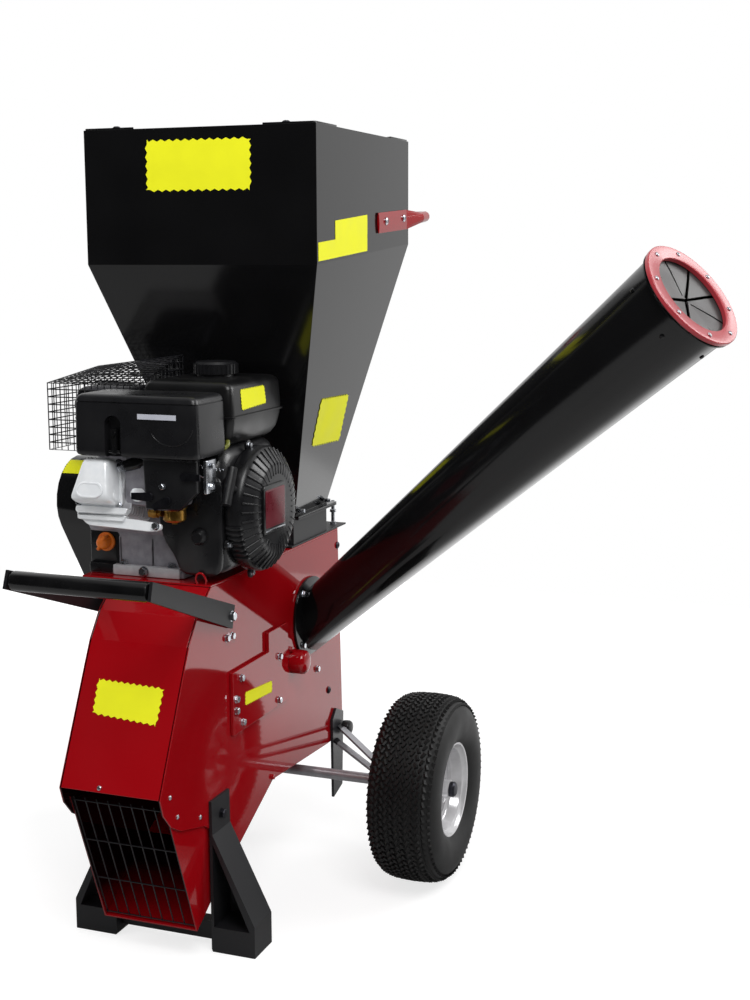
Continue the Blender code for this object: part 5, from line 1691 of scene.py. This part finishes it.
# %% Bolts on the housing
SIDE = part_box("side_plate_right")[1].x - DATUM.x
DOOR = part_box("access_cover")[1].x - DATUM.x
LEG_FACE = SIDE + 0.0053
door = [
    (0.0953, 0.4205), (0.0760, 0.3904), (0.0752, 0.3711), (0.0980, 0.3460), (0.2448, 0.4180),
    (0.2410, 0.3420),
]
fasten("access_cover_bolts", M6, "machine", [(at(DOOR, y, z), X) for y, z in door])
fasten("side_plate_bolts", M6, "machine", [
    (at(SIDE, 0.0579, 0.4949), X), (at(SIDE, 0.0765, 0.4946), X), (at(SIDE, 0.4242, 0.3476), X),
    (at(-SIDE, 0.4242, 0.3476), -X), (at(-SIDE, 0.0579, 0.4949), -X),
])
fasten("side_plate_studs", M5, "machine", [
    (at(SIDE, 0.2222, 0.2100), X), (at(SIDE, 0.3047, 0.4150), X), (at(SIDE, 0.1538, 0.5800), X),
    (at(-SIDE, 0.2222, 0.2100), -X), (at(-SIDE, 0.1538, 0.5800), -X),
], RED_ENAMEL, "red_paint")
fasten("side_plate_rear_bolt", BIG_SCREW, "machine", [
    (at(SIDE, 0.5260, 0.5590), X), (at(SIDE, 0.4786, 0.2923), X), (at(-SIDE, 0.5260, 0.5590), -X),
], DARK_STEEL, "tool_steel")
fasten("leg_bolts", M8, "machine", [
    (at(LEG_FACE, 0.0180, 0.2200), X), (at(-LEG_FACE, 0.0180, 0.2200), -X),
], DARK_STEEL, "tool_steel")

# %% [markdown]
# One small screw holds the hood at its lip, and others close the side plates over the chute.

# %% Screws on the hood and chute
HOOD_FOLD, HOOD_LIP = at(0, -0.086, 0.477), at(0, -0.169, 0.305)
HOOD_NORMAL = Vector((0, -0.9006, 0.4346))
fasten("front_hood_screws", SCREW, "machine", [
    (HOOD_FOLD.lerp(HOOD_LIP, 0.965) - X * 0.018, HOOD_NORMAL),
    (at(SIDE, -0.140, 0.300), X), (at(SIDE, -0.118, 0.262), X), (at(SIDE, -0.045, 0.235), X),
    (at(-SIDE, -0.140, 0.300), -X), (at(-SIDE, -0.045, 0.235), -X),
])

# %% [markdown]
# ## Hopper fittings
#
# The collar is bolted to the hopper's flange, the handle is screwed to both sides, and the
# rim has a small corner plate at each corner that stiffens it.

# %% Corner plates and handle screws
HOPPER_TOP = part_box("hopper")[1].z
CORNER_X, CORNER_RUN_X, CORNER_RUN_Y = 0.2035, 0.0915, 0.090
plates = []
for sx in (-1, 1):
    for rim_y, way in ((0.158, 1), (0.587, -1)):
        y = rim_y + way * 1.5 * MM
        inner_x = sx * (CORNER_X - CORNER_RUN_X)
        corners = [(sx * CORNER_X, y), (inner_x, y), (sx * CORNER_X, y + way * CORNER_RUN_Y)]
        levels = [(0, 0), (0.0022, 0), (0.0028, 0.0006)]
        plates.append(from_above("corner", soft_outline(corners, 0.004, 3), levels, HOPPER_TOP))
settle(joined("hopper_corner_plates", *plates), "machine", "black_paint", BLACK_ENAMEL)
spots = [(at(sx * 0.150, y, HOPPER_TOP + 0.0020), Z) for sx in (-1, 1) for y in (0.170, 0.575)]
fasten("hopper_corner_screws", BIG_SCREW, "machine", spots, DARK_STEEL, "tool_steel")
handle = ((0.4573, 1.1510), (0.5480, 1.1580))
spots = [(at(sx * 0.2093, y, z), X * sx) for sx in (-1, 1) for y, z in handle]
fasten("hopper_handle_screws", BIG_SCREW, "machine", spots)

# %% [markdown]
# Four bolts hold the hopper's flange on the collar, two on each side. At the collar's foot
# there is one in three of the corners, and in the fourth a long stud with two nuts.

# %% Bolts on the flange and the collar
FLANGE_X, FLANGE_Z = 0.0915, 0.6505
STUD = at(0.070, 0.546, 0)
spots = [(at(x, y, FLANGE_Z), Z) for x in (FLANGE_X, -FLANGE_X) for y in (0.350, 0.468)]
fasten("hopper_flange_bolts", M6, "machine", spots)
stud = barrel("stud", STUD + Z * 0.594, STUD + Z * 0.640, 3.5 * MM, sides=16)
nuts = copied("nuts", M6, [turned_to(STUD + Z * z, Z) for z in (0.5945, 0.618)])
settle(joined("hopper_collar_stud", stud, nuts), "machine", "bright_steel", ZINC)
fasten("hopper_collar_bolts", M6, "machine", [
    (at(sx * 0.070, y, 0.5945), Z) for sx, y in ((-1, 0.546), (1, 0.3255), (-1, 0.3255))
])

# %% [markdown]
# A loop of red wire stands at the front of the deck, black knobs close the rear brackets, and
# five bolts hold the belt guard.

# %% Deck loop, bracket knobs and belt guard bolts
loop = wire_along("deck_loop", [
    at(0.061, 0.010, 0.5905), at(0.060, 0.008, 0.600), at(0.0685, 0.006, 0.6095),
    at(0.077, 0.008, 0.600), at(0.076, 0.010, 0.5905),
], 1.6 * MM)
settle(loop, "machine", "red_paint", RED_ENAMEL, smooth=60)
knob = [(0, 0), (0, 0.0125), (0.004, 0.0135), (0.012, 0.0135), (0.016, 0.0110), (0.018, 0.006), (0.018, 0)]
for side, sign in (("right", 1), ("left", -1)):
    foot = at(sign * 0.0945, 0.5304, 0.2060)
    turned = spun("rear_bracket_knob_" + side, knob, foot, X * sign, 28)
    settle(turned, "machine", "black_plastic", SATIN_ABS)
guard_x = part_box("belt_guard")[0].x
spots = []
for y, z in ((0.118, 0.745), (0.085, 0.690), (0.318, 0.345), (0.355, 0.395), (0.218, 0.545)):
    spots.append((Vector((guard_x, at(0, y, 0).y, z)), -X))
fasten("belt_guard_bolts", M6, "machine", spots)

# %% [markdown]
# ## Blank stickers
#
# Each sticker is a thin yellow sheet with a saw-toothed edge. Four corners place it on its
# panel, and a whole number of teeth, about as wide as asked for, is set along each side. A
# sticker with a plain edge has teeth too shallow to see.

# %% How a sticker is made
VINYL_THICK, HARDLY = 0.35 * MM, 0.1 * MM


def sticker(name, corners, lift, material=YELLOW_VINYL, tooth=9 * MM, bite=3 * MM):
    """A thin sheet between four corners, given anticlockwise as seen from outside."""
    corners = [Vector(corner) for corner in corners]
    out = (corners[1] - corners[0]).cross(corners[3] - corners[0]).normalized()
    points = []
    for start, end in zip(corners, corners[1:] + corners[:1]):
        inward = out.cross(end - start).normalized()
        teeth = max(1, round((end - start).length / tooth))
        for k in range(teeth):
            points.append(start.lerp(end, k / teeth) + inward * (bite if k == 0 else 0))
            points.append(start.lerp(end, (k + 0.5) / teeth) + inward * bite)
    lower = [point + out * lift for point in points]
    upper = [point + out * (lift + VINYL_THICK) for point in points]
    settle(skin(name, [lower, upper]), "machine", "black_paint", material, smooth=20)


print("vinyl is", VINYL_THICK, "m thick")

# %% [markdown]
# The belt guard's sticker bends round its nose, so it is a skin through narrow strips of it,
# every second one a little narrower, which are its teeth.

# %% Sticker round the belt guard
STRIPS, GUARD_R = 12, 0.0703
rings = []
for k in range(STRIPS + 1):
    turn = math.radians(42 + 26 * k / STRIPS)
    bite = 2.4 * MM * (k % 2)
    left, right = -0.2105 + bite, -0.168 - bite
    ring = []
    for x, lift in ((left, 0), (right, 0), (right, 0.4 * MM), (left, 0.4 * MM)):
        reach = GUARD_R + lift
        ring.append(at(x, 0.118 - reach * math.cos(turn), CRANK.z + reach * math.sin(turn)))
    rings.append(ring)
settle(skin("label_belt_guard", rings), "machine", "black_paint", YELLOW_VINYL)

# %% [markdown]
# The rest are flat. Most of them sit a little askew, because they are put on by hand.

# %% Stickers on the hopper
sticker("label_hopper_front", [
    at(-0.092, 0.158, 1.194), at(0.095, 0.158, 1.194),
    at(0.095, 0.158, 1.276), at(-0.092, 0.158, 1.276),
], 0.2 * MM, tooth=14 * MM, bite=3.5 * MM)
HOPPER_X = 0.205
sticker("label_hopper_side_low", [
    at(HOPPER_X, 0.163, 1.0835), at(HOPPER_X, 0.376, 1.1000),
    at(HOPPER_X, 0.376, 1.1290), at(HOPPER_X, 0.163, 1.1125),
], 0.2 * MM, bite=HARDLY)
sticker("label_hopper_side_high", [
    at(HOPPER_X, 0.233, 1.1165), at(HOPPER_X, 0.376, 1.1275),
    at(HOPPER_X, 0.376, 1.1600), at(HOPPER_X, 0.233, 1.1475),
], 0.35 * MM, bite=HARDLY)
sticker("label_hopper_slope", [
    at(0.1181, 0.3304, 0.7678), at(0.1133, 0.4700, 0.7630),
    at(0.1372, 0.4600, 0.8501), at(0.1412, 0.3223, 0.8535),
], 0.8 * MM, tooth=12 * MM, bite=3.5 * MM)

# %% [markdown]
# Lower down there is one each on the hood, the tank and the access cover, and a plain silver
# one on the air cleaner.

# %% Stickers on the body and the engine
sticker("label_hood", [
    at(-0.0549, -0.1194, 0.4078), at(0.0579, -0.1227, 0.4010),
    at(0.0590, -0.0971, 0.4540), at(-0.0570, -0.0954, 0.4575),
], 0.5 * MM, tooth=11 * MM)
sticker("label_tank", [
    at(0.1150, 0.0660, 0.8565), at(0.1148, 0.1568, 0.8600),
    at(0.1130, 0.1530, 0.8900), at(0.1130, 0.0650, 0.8900),
], 0.5 * MM, tooth=6 * MM, bite=2 * MM)
sticker("label_access_cover", [
    at(DOOR, 0.1078, 0.3699), at(DOOR, 0.2134, 0.3637),
    at(DOOR, 0.2141, 0.3845), at(DOOR, 0.1087, 0.3932),
], 0.2 * MM, tooth=6 * MM, bite=2 * MM)
sticker("label_air_cleaner", [
    at(0.0105, -0.072, 0.8540), at(0.0750, -0.072, 0.8540),
    at(0.0750, -0.072, 0.8620), at(0.0105, -0.072, 0.8620),
], 0.1 * MM, SILVER_VINYL, tooth=30 * MM, bite=HARDLY)

# %% [markdown]
# ## Clearing the bench
#
# The five fasteners that were copied all over the machine still stand at the frame's origin.
# They are taken away, so that only finished pieces are left.

# %% Remove the masters
for master in MASTERS:
    bpy.data.objects.remove(master)
print("removed", len(MASTERS), "masters")
